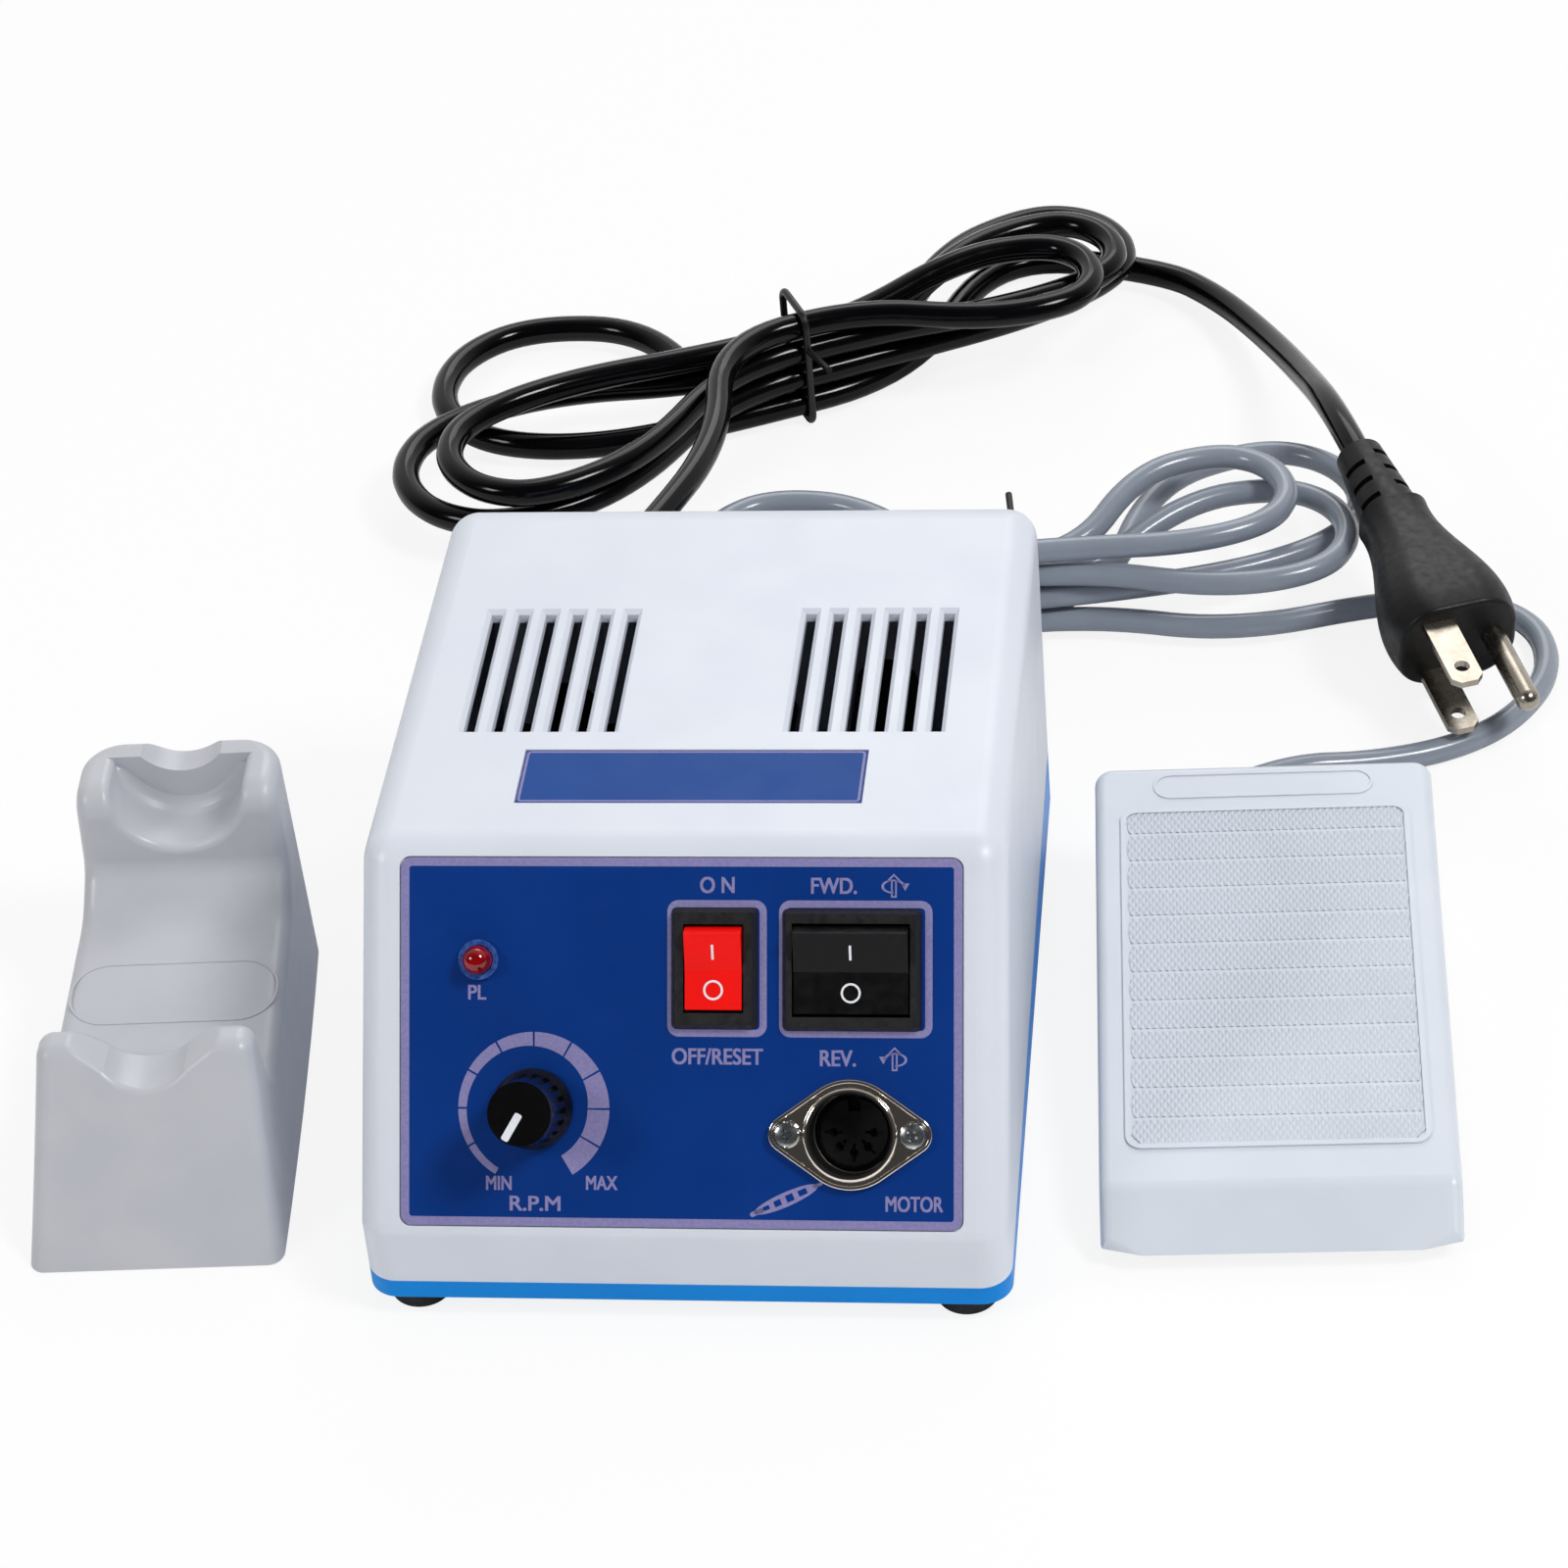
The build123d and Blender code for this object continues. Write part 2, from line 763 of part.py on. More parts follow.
with BuildPart() as mains_strain_relief:
    with BuildSketch(on_rear(inlet_x, inlet_z)):
        Circle(inlet_flange_radius)
    extrude(amount=inlet_flange)
    with BuildSketch(on_rear(inlet_x, inlet_z)):
        Circle(inlet_neck_radius)
    extrude(amount=-wall)
    with BuildSketch(on_rear(inlet_x, inlet_z, -wall)):
        Circle(inlet_lock_radius)
    extrude(amount=-inlet_flange)
    with BuildSketch(on_rear(inlet_x, inlet_z, inlet_flange)):
        Circle(boot_root_radius)
    with BuildSketch(on_rear(inlet_x, inlet_z, inlet_flange + boot_length)):
        Circle(boot_tip_radius)
    loft()

with BuildPart() as fuse_holder:
    with BuildSketch(on_rear(fuse_x, fuse_z)):
        Circle(fuse_flange_radius)
    extrude(amount=fuse_flange)
    with BuildSketch(on_rear(fuse_x, fuse_z)):
        Circle(fuse_radius)
    extrude(amount=-fuse_length)
    with BuildSketch(on_rear(fuse_x, fuse_z, fuse_flange)):
        Circle(fuse_bore_radius + slip)
    extrude(amount=-fuse_length, mode=Mode.SUBTRACT)

with BuildPart() as fuse_cap:
    with BuildSketch(on_rear(fuse_x, fuse_z, fuse_flange)):
        Circle(fuse_cap_radius)
    extrude(amount=fuse_cap_height)
    with BuildSketch(on_rear(fuse_x, fuse_z, fuse_flange)):
        Circle(fuse_bore_radius)
    extrude(amount=-fuse_length + fuse_cap_height)
    with BuildSketch(on_rear(fuse_x, fuse_z, fuse_flange + fuse_cap_height)):
        Rectangle(2 * fuse_cap_radius, fuse_slot_width)
    extrude(amount=-fuse_slot, mode=Mode.SUBTRACT)

with BuildPart() as foot_socket:
    with BuildSketch(on_rear(jack_x, jack_z)):
        RegularPolygon(jack_flange_radius, 6)
    extrude(amount=jack_flange)
    with BuildSketch(on_rear(jack_x, jack_z)):
        Circle(jack_radius)
    extrude(amount=-jack_body_length)
    with BuildSketch(on_rear(jack_x, jack_z, jack_flange)):
        Circle(jack_bore_radius)
    extrude(amount=-jack_bore, mode=Mode.SUBTRACT)

with BuildPart() as foot_cord_plug:
    with BuildSketch(on_rear(jack_x, jack_z, jack_flange)):
        Circle(plug_pin_radius)
    extrude(amount=-plug_pin_length)
    with BuildSketch(on_rear(jack_x, jack_z, jack_flange)):
        Circle(plug_body_radius)
    extrude(amount=plug_body_length)
    with BuildSketch(on_rear(jack_x, jack_z, jack_flange + plug_body_length)):
        Circle(plug_tail_radius)
    extrude(amount=plug_tail_length)

# Transformer

core_floor = floor_top + strap_thick
core_plane = Plane(origin=(box_x + core_x, box_y + core_y, core_floor), x_dir=(1, 0, 0), z_dir=(0, -1, 0))
window_height = core_height - 2 * core_limb
middle_limb = 2 * core_limb
window_width = (core_width - 4 * core_limb) / 2
window_step = window_width + middle_limb

with BuildPart() as transformer_core:
    with BuildSketch(core_plane):
        with Locations((0, core_height / 2)):
            Rectangle(core_width, core_height)
            with GridLocations(window_step, 0, 2, 1):
                Rectangle(window_width, window_height, mode=Mode.SUBTRACT)
    extrude(amount=core_stack / 2, both=True)

with BuildPart() as transformer_coil:
    with BuildSketch(core_plane):
        with Locations((0, core_height / 2)):
            Rectangle(middle_limb + 2 * window_width - 2 * coil_gap, window_height - 2 * coil_gap)
    extrude(amount=core_stack / 2 + coil_overhang, both=True)
    with BuildSketch(core_plane):
        with Locations((0, core_height / 2)):
            Rectangle(middle_limb, window_height)
    extrude(amount=core_stack / 2, both=True, mode=Mode.SUBTRACT)

with BuildPart() as transformer_strap:
    with BuildSketch(core_plane):
        with Locations((0, (core_height + strap_thick) / 2)):
            Rectangle(core_width + 2 * strap_thick, core_height + strap_thick)
        with Locations((0, core_height / 2)):
            Rectangle(core_width, core_height, mode=Mode.SUBTRACT)
        with Locations((0, -strap_thick / 2)):
            Rectangle(core_width + 2 * (strap_thick + strap_tab), strap_thick)
    extrude(amount=strap_width / 2, both=True)
    with BuildSketch(box_floor.offset(floor_top)):
        with Locations((core_x, core_y)):
            with GridLocations(core_width + 2 * strap_thick + strap_tab, 0, 2, 1):
                Circle(strap_screw_radius + slip)
    extrude(amount=strap_thick, mode=Mode.SUBTRACT)

with BuildPart() as transformer_screws:
    with BuildSketch(box_floor.offset(core_floor)):
        with Locations((core_x, core_y)):
            with GridLocations(core_width + 2 * strap_thick + strap_tab, 0, 2, 1):
                Circle(strap_head_radius)
    extrude(amount=strap_head)
    with BuildSketch(box_floor.offset(core_floor)):
        with Locations((core_x, core_y)):
            with GridLocations(core_width + 2 * strap_thick + strap_tab, 0, 2, 1):
                Circle(strap_screw_radius)
    extrude(amount=-strap_thick - wall)

# Control board

board_bottom = floor_top + standoff_height
board_top = board_bottom + board_thick

with BuildPart() as control_board:
    with BuildSketch(box_floor.offset(board_bottom)):
        with Locations((board_x, board_y)):
            Rectangle(board_width, board_length)
        with Locations(*standoff_places()):
            Circle(board_screw_radius + slip, mode=Mode.SUBTRACT)
    extrude(amount=board_thick)

with BuildPart() as board_screws:
    with BuildSketch(box_floor.offset(board_top)):
        with Locations(*standoff_places()):
            Circle(board_head_radius)
    extrude(amount=board_head)
    with BuildSketch(box_floor.offset(board_top)):
        with Locations(*standoff_places()):
            Circle(board_screw_radius)
    extrude(amount=-board_screw_length)

with BuildPart() as board_capacitors:
    with BuildSketch(box_floor.offset(board_top)):
        with Locations((board_x, board_y + board_length / 2 - capacitor_step)):
            with GridLocations(capacitor_step, 0, 2, 1):
                Circle(capacitor_radius)
    extrude(amount=capacitor_height)

with BuildPart() as board_heat_sink:
    fin_pitch = sink_length / sink_fins
    with BuildSketch(box_floor.offset(board_top)):
        with Locations((board_x, sink_y)):
            Rectangle(sink_length, sink_width)
        with Locations((board_x, sink_y + sink_base / 2)):
            with GridLocations(fin_pitch, 0, sink_fins, 1):
                Rectangle(
                    fin_pitch * sink_fin_share,
                    sink_width - sink_base,
                    mode=Mode.SUBTRACT,
                )
    extrude(amount=sink_height)

# Handpiece rest: one moulding with a notched front wall, a valley and a rear trough

rest_front_half = 23.0
rest_middle_half = 21.9
rest_rear_half = 19.6
rest_top_front_half = 17.6
rest_top_middle_half = 18.4
rest_top_rear_half = 18.8
rest_length = 95.0
rest_height = 48.0
post_front_y = 20.5
post_top = 35.0
post_thick = 7.0
valley_front = 19.5
valley_rear_y = 70.0
valley_rear = 25.0
block_foot_y = 76.5
block_foot = 31.0
block_top_y = 77.0
notch_bottom = 28.0
notch_radius = 8.0
notch_shoulder = 31.0
notch_width = 14.4
vee_width = 27.0
trough_depth = 12.3
trough_chord = 25.0
trough_end_wall = 6.0
outlet_depth = 3.6
outlet_chord = 15.0
rest_corner = 4.5
rest_rear_corner = 8.0
rest_edge = 3.0
post_edge = 3.3
block_blend = 5.0
block_edge = 5.5
mouth_edge = 1.6
valley_blend = 9.0
pad_radius = 4.0
pad_thick = 1.2
pad_pocket = 0.9
pad_inset = 9.0

rest_angle = radians(rest_turn)
rest_floor = Plane(
    origin=(box_x + rest_from_box_x, box_y + rest_from_box_y, 0),
    x_dir=(cos(rest_angle), sin(rest_angle), 0),
)
rest_side = Plane(
    origin=rest_floor.origin,
    x_dir=rest_floor.y_dir,
    z_dir=rest_floor.x_dir,
)
rest_front = Plane(
    origin=rest_floor.origin,
    x_dir=rest_floor.x_dir,
    z_dir=-rest_floor.y_dir,
)


def rest_plan(front, middle, rear):
    """Plan outline of the rest, a tapered body with gently bulging sides."""
    with BuildSketch() as plan:
        with BuildLine():
            Line((-front, 0), (front, 0))
            ThreePointArc((front, 0), (middle, rest_length / 2), (rear, rest_length))
            Line((rear, rest_length), (-rear, rest_length))
            ThreePointArc((-rear, rest_length), (-middle, rest_length / 2), (-front, 0))
        make_face()
    return plan.sketch


def arc_radius(chord, depth):
    """Radius of the circle whose segment has a chord and a depth."""
    return (chord * chord / 4 + depth * depth) / (2 * depth)


trough_radius = arc_radius(trough_chord, trough_depth)
outlet_radius = arc_radius(outlet_chord, outlet_depth)


def on_rest_rim(edge):
    """Whether an edge runs along the rest's sides or round the top of its rear block."""
    place = rest_floor.to_local_coords(edge.center())
    if place.Z < pad_thick:
        return False
    if place.Y > rest_length - rest_rear_corner - post_edge:
        return place.Z > rest_height - slip
    return abs(edge.tangent_at(0.5).dot(rest_floor.x_dir)) < cos(lean)


def rest_cut_rims(low_y, high_y, half, low_z):
    """Curved or lengthwise edges of the rest's cuts within a length and a half width."""
    rims = []
    for edge in rest_body.edges():
        place = rest_floor.to_local_coords(edge.center())
        crossing = abs(edge.tangent_at(0.5).dot(rest_floor.x_dir)) > cos(lean)
        flat_line = edge.geom_type == GeomType.LINE and crossing
        if low_y < place.Y < high_y and abs(place.X) < half and place.Z > low_z and not flat_line:
            rims.append(edge)
    return rims


with BuildPart() as rest_body:
    with BuildSketch(rest_floor.offset(pad_thick - pad_pocket)):
        add(rest_plan(rest_front_half, rest_middle_half, rest_rear_half))
    with BuildSketch(rest_floor.offset(rest_height)):
        add(rest_plan(rest_top_front_half, rest_top_middle_half, rest_top_rear_half))
    loft(ruled=True)
    uprights = rest_body.edges().filter_by(lambda edge: abs(edge.tangent_at(0.5).Z) > sin(lean))
    fillet(uprights.sort_by(Axis.Y)[-2:], rest_rear_corner)
    with BuildSketch(rest_side) as profile:
        with BuildLine():
            Polyline(
                (0, 0),
                (post_front_y, post_top),
                (post_front_y + post_thick, post_top),
                (post_front_y + post_thick, valley_front),
                (valley_rear_y, valley_rear),
                (block_foot_y, block_foot),
                (block_top_y, rest_height),
                (rest_length, rest_height),
                (rest_length, 0),
                close=True,
            )
        make_face()
        for y, z, radius in (
            (post_front_y, post_top, post_edge),
            (post_front_y + post_thick, post_top, post_edge),
            (post_front_y + post_thick, valley_front, rest_corner),
            (valley_rear_y, valley_rear, valley_blend),
            (block_foot_y, block_foot, block_blend),
            (block_top_y, rest_height, block_edge),
        ):
            fillet(profile.vertices().sort_by_distance((y, z))[0], radius)
    extrude(amount=rest_front_half, both=True, mode=Mode.INTERSECT)
    # One soft edge up the leaning front, along the valley and round the rear block
    fillet(rest_body.edges().filter_by(on_rest_rim), rest_edge)
    # Notch of the front wall: a wide vee with a round bottom
    with BuildSketch(rest_front):
        with BuildLine():
            Polyline(
                (-notch_width / 2, notch_shoulder),
                (-vee_width / 2, post_top),
                (-vee_width / 2, rest_height),
                (vee_width / 2, rest_height),
                (vee_width / 2, post_top),
                (notch_width / 2, notch_shoulder),
            )
            ThreePointArc(
                (notch_width / 2, notch_shoulder),
                (0, notch_bottom),
                (-notch_width / 2, notch_shoulder),
            )
        make_face()
    extrude(amount=-block_foot_y + rest_corner, mode=Mode.SUBTRACT)
    # Trough of the rear block, open to the front, with a shallow outlet behind
    with BuildSketch(rest_front):
        with Locations((0, rest_height - trough_depth + trough_radius)):
            Circle(trough_radius)
    extrude(amount=-rest_length + trough_end_wall, mode=Mode.SUBTRACT)
    with BuildSketch(rest_front):
        with Locations((0, rest_height - outlet_depth + outlet_radius)):
            Circle(outlet_radius)
    extrude(amount=-rest_length - overrun, mode=Mode.SUBTRACT)
    # Soft mouths of the trough and the notch
    trough_rear_y = rest_length - trough_end_wall
    mouth_half = trough_chord / 2 + mouth_edge
    fillet(rest_cut_rims(block_foot_y - slip, trough_rear_y - slip, mouth_half, block_foot), mouth_edge)
    notch_rear_y = post_front_y + post_thick + slip
    notch_rims = rest_cut_rims(0, notch_rear_y, vee_width / 2 - slip, notch_bottom - slip)
    fillet([rim for rim in notch_rims if rim.geom_type != GeomType.LINE], mouth_edge)
    # Pockets of the pads
    with BuildSketch(rest_floor.offset(pad_thick - pad_pocket)):
        with Locations((0, rest_length / 2)):
            with GridLocations(2 * (rest_rear_half - pad_inset), rest_length - 2 * pad_inset, 2, 2):
                Circle(pad_radius + slip)
    extrude(amount=pad_pocket, mode=Mode.SUBTRACT)

with BuildPart() as rest_pads:
    with BuildSketch(rest_floor):
        with Locations((0, rest_length / 2)):
            with GridLocations(2 * (rest_rear_half - pad_inset), rest_length - 2 * pad_inset, 2, 2):
                Circle(pad_radius)
    extrude(amount=pad_thick)

# Foot pedal: a tread cover hinged at the rear of its base, over a spring and a switch

pedal_width = 63.0
pedal_length = 111.0
pedal_front_top = 12.5
pedal_lip_top_y = 9.0
pedal_rear_top = 27.0
pedal_skirt_front = 4.2
pedal_skirt_rear = 2.0
pedal_wall = 2.2
pedal_corner = 3.5
pedal_edge = 2.0
pedal_base_gap = 0.6
pedal_foot_height = 1.2
pedal_foot_radius = 5.0
pedal_foot_inset = 12.5
pedal_base_thick = 2.4
hinge_y = 93.0
hinge_z = 9.0
hinge_radius = 1.6
lug_width = 5.0
lug_x = 18.0
lug_radius = 4.2
ear_gap = 0.4
pedal_travel = 1.7
spring_y = 34.0
spring_coil_radius = 4.4
spring_wire = 1.0
spring_turns = 4
spring_seat_radius = 3.2
spring_seat = 1.6
switch_y = 62.0
switch_width = 16.0
switch_length = 8.0
switch_height = 7.5
plunger_width = 2.4
plunger_rise = 1.4
plunger_gap = 0.1
presser_width = 6.0
tread_width = 53.5
tread_front_y = 17.0
tread_rear_y = 99.0
tread_depth = 0.5
bead_width = 1.0
bead_rise = 0.5
bead_radius = 3.0
badge_width = 41.0
badge_depth = 6.4
badge_y = 105.0
bushing_x = -7.6
bushing_z = 7.6
bushing_radius = 4.2
bushing_length = 9.0
bushing_in = 3.0

pedal_angle = radians(pedal_turn)
pedal_floor = Plane(
    origin=(box_x + pedal_from_box_x, box_y + pedal_from_box_y, 0),
    x_dir=(cos(pedal_angle), sin(pedal_angle), 0),
)
pedal_side = Plane(
    origin=pedal_floor.origin,
    x_dir=pedal_floor.y_dir,
    z_dir=pedal_floor.x_dir,
)
tread_slope = atan2(pedal_rear_top - pedal_front_top, pedal_length - pedal_lip_top_y)
tread_length = (tread_rear_y - tread_front_y) / cos(tread_slope)


def tread_height(y):
    """Height of the cover's top at a distance behind its front edge."""
    return pedal_front_top + (y - pedal_lip_top_y) * tan(tread_slope)


def on_tread(y, out=0):
    """Plane on the sloping tread at a distance behind the front edge."""
    across = pedal_floor.x_dir
    normal = pedal_floor.z_dir * cos(tread_slope) - pedal_floor.y_dir * sin(tread_slope)
    place = pedal_floor.from_local_coords((0, y, tread_height(y)))
    return Plane(origin=place + normal * out, x_dir=across, z_dir=normal)


lip_run = pedal_lip_top_y / (pedal_front_top - pedal_skirt_front)


def pedal_form(inset, drop):
    """Form of the pedal's cover, drawn in by an inset, its open underside let down by a drop."""
    with BuildPart() as form:
        with BuildSketch(pedal_floor):
            with Locations((0, pedal_length / 2)):
                RectangleRounded(
                    pedal_width - 2 * inset, pedal_length - 2 * inset, pedal_corner - inset / 2
                )
        extrude(amount=pedal_rear_top)
        with BuildSketch(pedal_side) as side:
            with BuildLine():
                Polyline(
                    (-drop * lip_run, pedal_skirt_front - drop),
                    (pedal_lip_top_y, pedal_front_top),
                    (pedal_length, pedal_rear_top),
                    (pedal_length, pedal_skirt_rear - drop),
                    close=True,
                )
            make_face()
            offset(amount=-inset, kind=Kind.INTERSECTION)
            lip = side.vertices().sort_by_distance((pedal_lip_top_y, pedal_front_top))[0]
            fillet(lip, pedal_corner)
        extrude(amount=pedal_width / 2, both=True, mode=Mode.INTERSECT)
    return form.part


with BuildPart() as pedal_shell:
    add(pedal_form(0, 0))
    crown = pedal_shell.faces().filter_by(lambda face: face.normal_at().Z > cos(lean))
    fillet(crown.edges(), pedal_edge)

lug_places = [-lug_x, lug_x]

with BuildPart() as pedal_cover:
    add(pedal_shell.part)
    add(pedal_form(pedal_wall, 2 * pedal_wall), mode=Mode.SUBTRACT)
    # Hinge lugs under the rear of the tread
    for x in lug_places:
        with BuildSketch(pedal_side.offset(x - lug_width / 2)):
            with BuildLine():
                Polyline(
                    (hinge_y - lug_radius, hinge_z),
                    (hinge_y - lug_radius, tread_height(hinge_y - lug_radius) - pedal_wall / 2),
                    (hinge_y + lug_radius, tread_height(hinge_y + lug_radius) - pedal_wall / 2),
                    (hinge_y + lug_radius, hinge_z),
                )
                ThreePointArc(
                    (hinge_y + lug_radius, hinge_z),
                    (hinge_y, hinge_z - lug_radius),
                    (hinge_y - lug_radius, hinge_z),
                )
            make_face()
        extrude(amount=lug_width)
    with BuildSketch(pedal_side):
        with Locations((hinge_y, hinge_z)):
            Circle(hinge_radius + running)
    extrude(amount=lug_x + lug_width, both=True, mode=Mode.SUBTRACT)
    # Spring seat and switch presser under the tread
    with BuildSketch(pedal_floor.offset(tread_height(spring_y) - pedal_wall - spring_seat)):
        with Locations((0, spring_y)):
            Circle(spring_seat_radius)
    extrude(until=Until.NEXT)
    with BuildSketch(
        pedal_floor.offset(
            pedal_foot_height + pedal_base_thick + switch_height + plunger_rise + plunger_gap
        )
    ):
        with Locations((0, switch_y)):
            Rectangle(presser_width, presser_width)
    extrude(until=Until.NEXT)
    # Raised line round the tread and the stadium behind it
    with BuildSketch(on_tread((tread_front_y + tread_rear_y) / 2)):
        RectangleRounded(tread_width, tread_length, bead_radius)
        RectangleRounded(
            tread_width - 2 * bead_width,
            tread_length - 2 * bead_width,
            bead_radius - bead_width,
            mode=Mode.SUBTRACT,
        )
    extrude(amount=bead_rise)
    with BuildSketch(on_tread(badge_y)):
        SlotOverall(badge_width, badge_depth)
        SlotOverall(badge_width - bead_width, badge_depth - bead_width, mode=Mode.SUBTRACT)
    extrude(amount=bead_rise / 2)
    # Way out for the cord at the rear
    cord_way_out = pedal_floor.from_local_coords((bushing_x, pedal_length + overrun, bushing_z))
    with BuildSketch(Plane(cord_way_out, x_dir=pedal_floor.x_dir, z_dir=-pedal_floor.y_dir)):
        Rectangle(2 * (bushing_radius + overrun), 2 * (bushing_radius + overrun))
        with Locations((0, -bushing_z / 2)):
            Rectangle(2 * (bushing_radius + overrun), bushing_z + overrun)
    extrude(amount=pedal_wall + 2 * overrun, mode=Mode.SUBTRACT)

base_width = pedal_width - 2 * (pedal_wall + pedal_base_gap)
base_top = pedal_foot_height + pedal_base_thick
front_drop = hinge_y * tan(radians(pedal_travel))
lip_angle = atan2(pedal_front_top - pedal_skirt_front, pedal_lip_top_y)
lip_inside_y = (base_top + front_drop - pedal_skirt_front) * lip_run + pedal_wall / sin(lip_angle)
base_front_y = lip_inside_y + 2 * pedal_base_gap
base_rear_y = pedal_length - pedal_wall - pedal_base_gap
base_length = base_rear_y - base_front_y
base_middle_y = (base_front_y + base_rear_y) / 2

with BuildPart() as pedal_base:
    with BuildSketch(pedal_floor.offset(pedal_foot_height)):
        with Locations((0, base_middle_y)):
            RectangleRounded(base_width, base_length, pedal_corner / 2)
    extrude(amount=pedal_base_thick)
    # Ears that hold the hinge pin, inside the cover's lugs
    for x in lug_places:
        side = 1 if x > 0 else -1
        ear_inner = x - side * (lug_width / 2 + ear_gap)
        with BuildSketch(pedal_side.offset(ear_inner)):
            with BuildLine():
                Polyline(
                    (hinge_y - lug_radius, hinge_z),
                    (hinge_y - lug_radius, base_top - pedal_base_thick / 2),
                    (hinge_y + lug_radius, base_top - pedal_base_thick / 2),
                    (hinge_y + lug_radius, hinge_z),
                )
                ThreePointArc(
                    (hinge_y + lug_radius, hinge_z),
                    (hinge_y, hinge_z + lug_radius),
                    (hinge_y - lug_radius, hinge_z),
                )
            make_face()
        extrude(amount=-side * lug_width)
    with BuildSketch(pedal_side):
        with Locations((hinge_y, hinge_z)):
            Circle(hinge_radius)
    extrude(amount=lug_x + lug_width, both=True, mode=Mode.SUBTRACT)
    # Seat of the spring
    with BuildSketch(pedal_floor.offset(base_top)):
        with Locations((0, spring_y)):
            Circle(spring_seat_radius)
    extrude(amount=spring_seat)
    # Block that holds the cord's bushing
    bushing_block = Plane(
        origin=pedal_floor.from_local_coords((bushing_x, base_rear_y, base_top)),
        x_dir=pedal_floor.x_dir,
    )
    with BuildSketch(bushing_block):
        with Locations((0, -bushing_in)):
            Rectangle(2 * bushing_radius + bushing_in, 2 * bushing_in)
    extrude(amount=bushing_z + bushing_radius / 2 - base_top)
    with BuildSketch(Plane(origin=bushing_block.origin, x_dir=pedal_floor.x_dir, z_dir=-pedal_floor.y_dir)):
        with Locations((0, bushing_z - base_top)):
            Circle(bushing_radius)
    extrude(amount=bushing_in, mode=Mode.SUBTRACT)
    with BuildSketch(Plane(origin=bushing_block.origin, x_dir=pedal_floor.x_dir, z_dir=-pedal_floor.y_dir)):
        with Locations((0, bushing_z - base_top + bushing_radius)):
            Rectangle(2 * bushing_radius, 2 * bushing_radius)
    extrude(amount=bushing_in, mode=Mode.SUBTRACT)

with BuildPart() as pedal_feet:
    with BuildSketch(pedal_floor):
        with Locations((0, pedal_length / 2)):
            with GridLocations(
                pedal_width - 2 * pedal_foot_inset, pedal_length - 2 * pedal_foot_inset, 2, 2
            ):
                Circle(pedal_foot_radius)
    extrude(amount=pedal_foot_height)

with BuildPart() as pedal_hinge_pin:
    with BuildSketch(pedal_side):
        with Locations((hinge_y, hinge_z)):
            Circle(hinge_radius)
    extrude(amount=lug_x + lug_width / 2 + ear_gap, both=True)

# Routes of wound pieces: places with headings, joined by pairs of tangent arcs


def arc_meeting(start, start_way, end, end_way):
    """Place and heading where two tangent arcs meet between two places with headings."""
    gap = end - start
    both = start_way + end_way
    spare = 2 * (1 - start_way.dot(end_way))
    along = gap.dot(both)
    if spare < level_share:
        reach = gap.dot(gap) / (4 * gap.dot(end_way))
    else:
        reach = (sqrt(along**2 + spare * gap.dot(gap)) - along) / spare
    before = start + start_way * reach
    after = end - end_way * reach
    return (before + after) / 2, (after - before).normalized()


def wound_tube(nodes, diameter, straight):
    """Unbroken round tube through nodes of place and heading, with straight ends."""
    first, first_way = nodes[0]
    last, last_way = nodes[-1]
    with BuildPart() as tube:
        with BuildLine() as route:
            if straight:
                Line(first - first_way * straight, first)
            for (start, start_way), (end, end_way) in zip(nodes, nodes[1:]):
                middle, middle_way = arc_meeting(start, start_way, end, end_way)
                TangentArc(start, middle, tangent=start_way)
                TangentArc(middle, end, tangent=middle_way)
            if straight:
                Line(last, last + last_way * straight)
        path = Wire(route.edges())
        with BuildSketch(Plane(origin=path @ 0, z_dir=path % 0)):
            Circle(diameter / 2)
        sweep(path=path)
    return tube.part, path


def least_gap(path, diameter, samples):
    """Least free space between parts of a tube that don't follow each other closely."""
    places = [tuple(path @ (step / samples)) for step in range(samples + 1)]
    apart = int(samples * 4 * diameter / path.length)
    nearest = path.length
    for step, place in enumerate(places):
        for other in places[step + apart :]:
            nearest = min(nearest, dist(place, other))
    return nearest - diameter


spring_low = base_top + spring_wire / 2
spring_high = (
    tread_height(spring_y - spring_coil_radius - spring_wire) - pedal_wall - spring_wire / 2
)
spring_pitch = (spring_high - spring_low) / spring_turns
spring_rise = atan2(spring_pitch, 2 * pi * spring_coil_radius)


def spring_node(half_turns):
    """Place and heading on the spring after a number of half turns."""
    angle = radians(180 * half_turns)
    place = pedal_floor.from_local_coords(
        (
            spring_coil_radius * cos(angle),
            spring_y + spring_coil_radius * sin(angle),
            spring_low + slip / 2 + half_turns * (spring_pitch - slip / 2) / 2,
        )
    )
    ahead = pedal_floor.y_dir * cos(angle) - pedal_floor.x_dir * sin(angle)
    return place, ahead * cos(spring_rise) + pedal_floor.z_dir * sin(spring_rise)


spring_nodes = [spring_node(step) for step in range(2 * spring_turns + 1)]
spring_part, spring_path = wound_tube(spring_nodes, spring_wire, 0)
with BuildPart() as pedal_return_spring:
    add(spring_part)

with BuildPart() as pedal_switch_body:
    with BuildSketch(pedal_floor.offset(base_top)):
        with Locations((0, switch_y)):
            Rectangle(switch_width, switch_length)
    extrude(amount=switch_height)
    with BuildSketch(pedal_floor.offset(base_top + switch_height)):
        with Locations((0, switch_y)):
            Rectangle(plunger_width + 2 * slip, plunger_width + 2 * slip)
    extrude(amount=-2 * plunger_rise - pivot_radius, mode=Mode.SUBTRACT)

with BuildPart() as pedal_switch_plunger:
    with BuildSketch(pedal_floor.offset(base_top + switch_height - plunger_rise)):
        with Locations((0, switch_y)):
            Rectangle(plunger_width, plunger_width)
    extrude(amount=2 * plunger_rise)

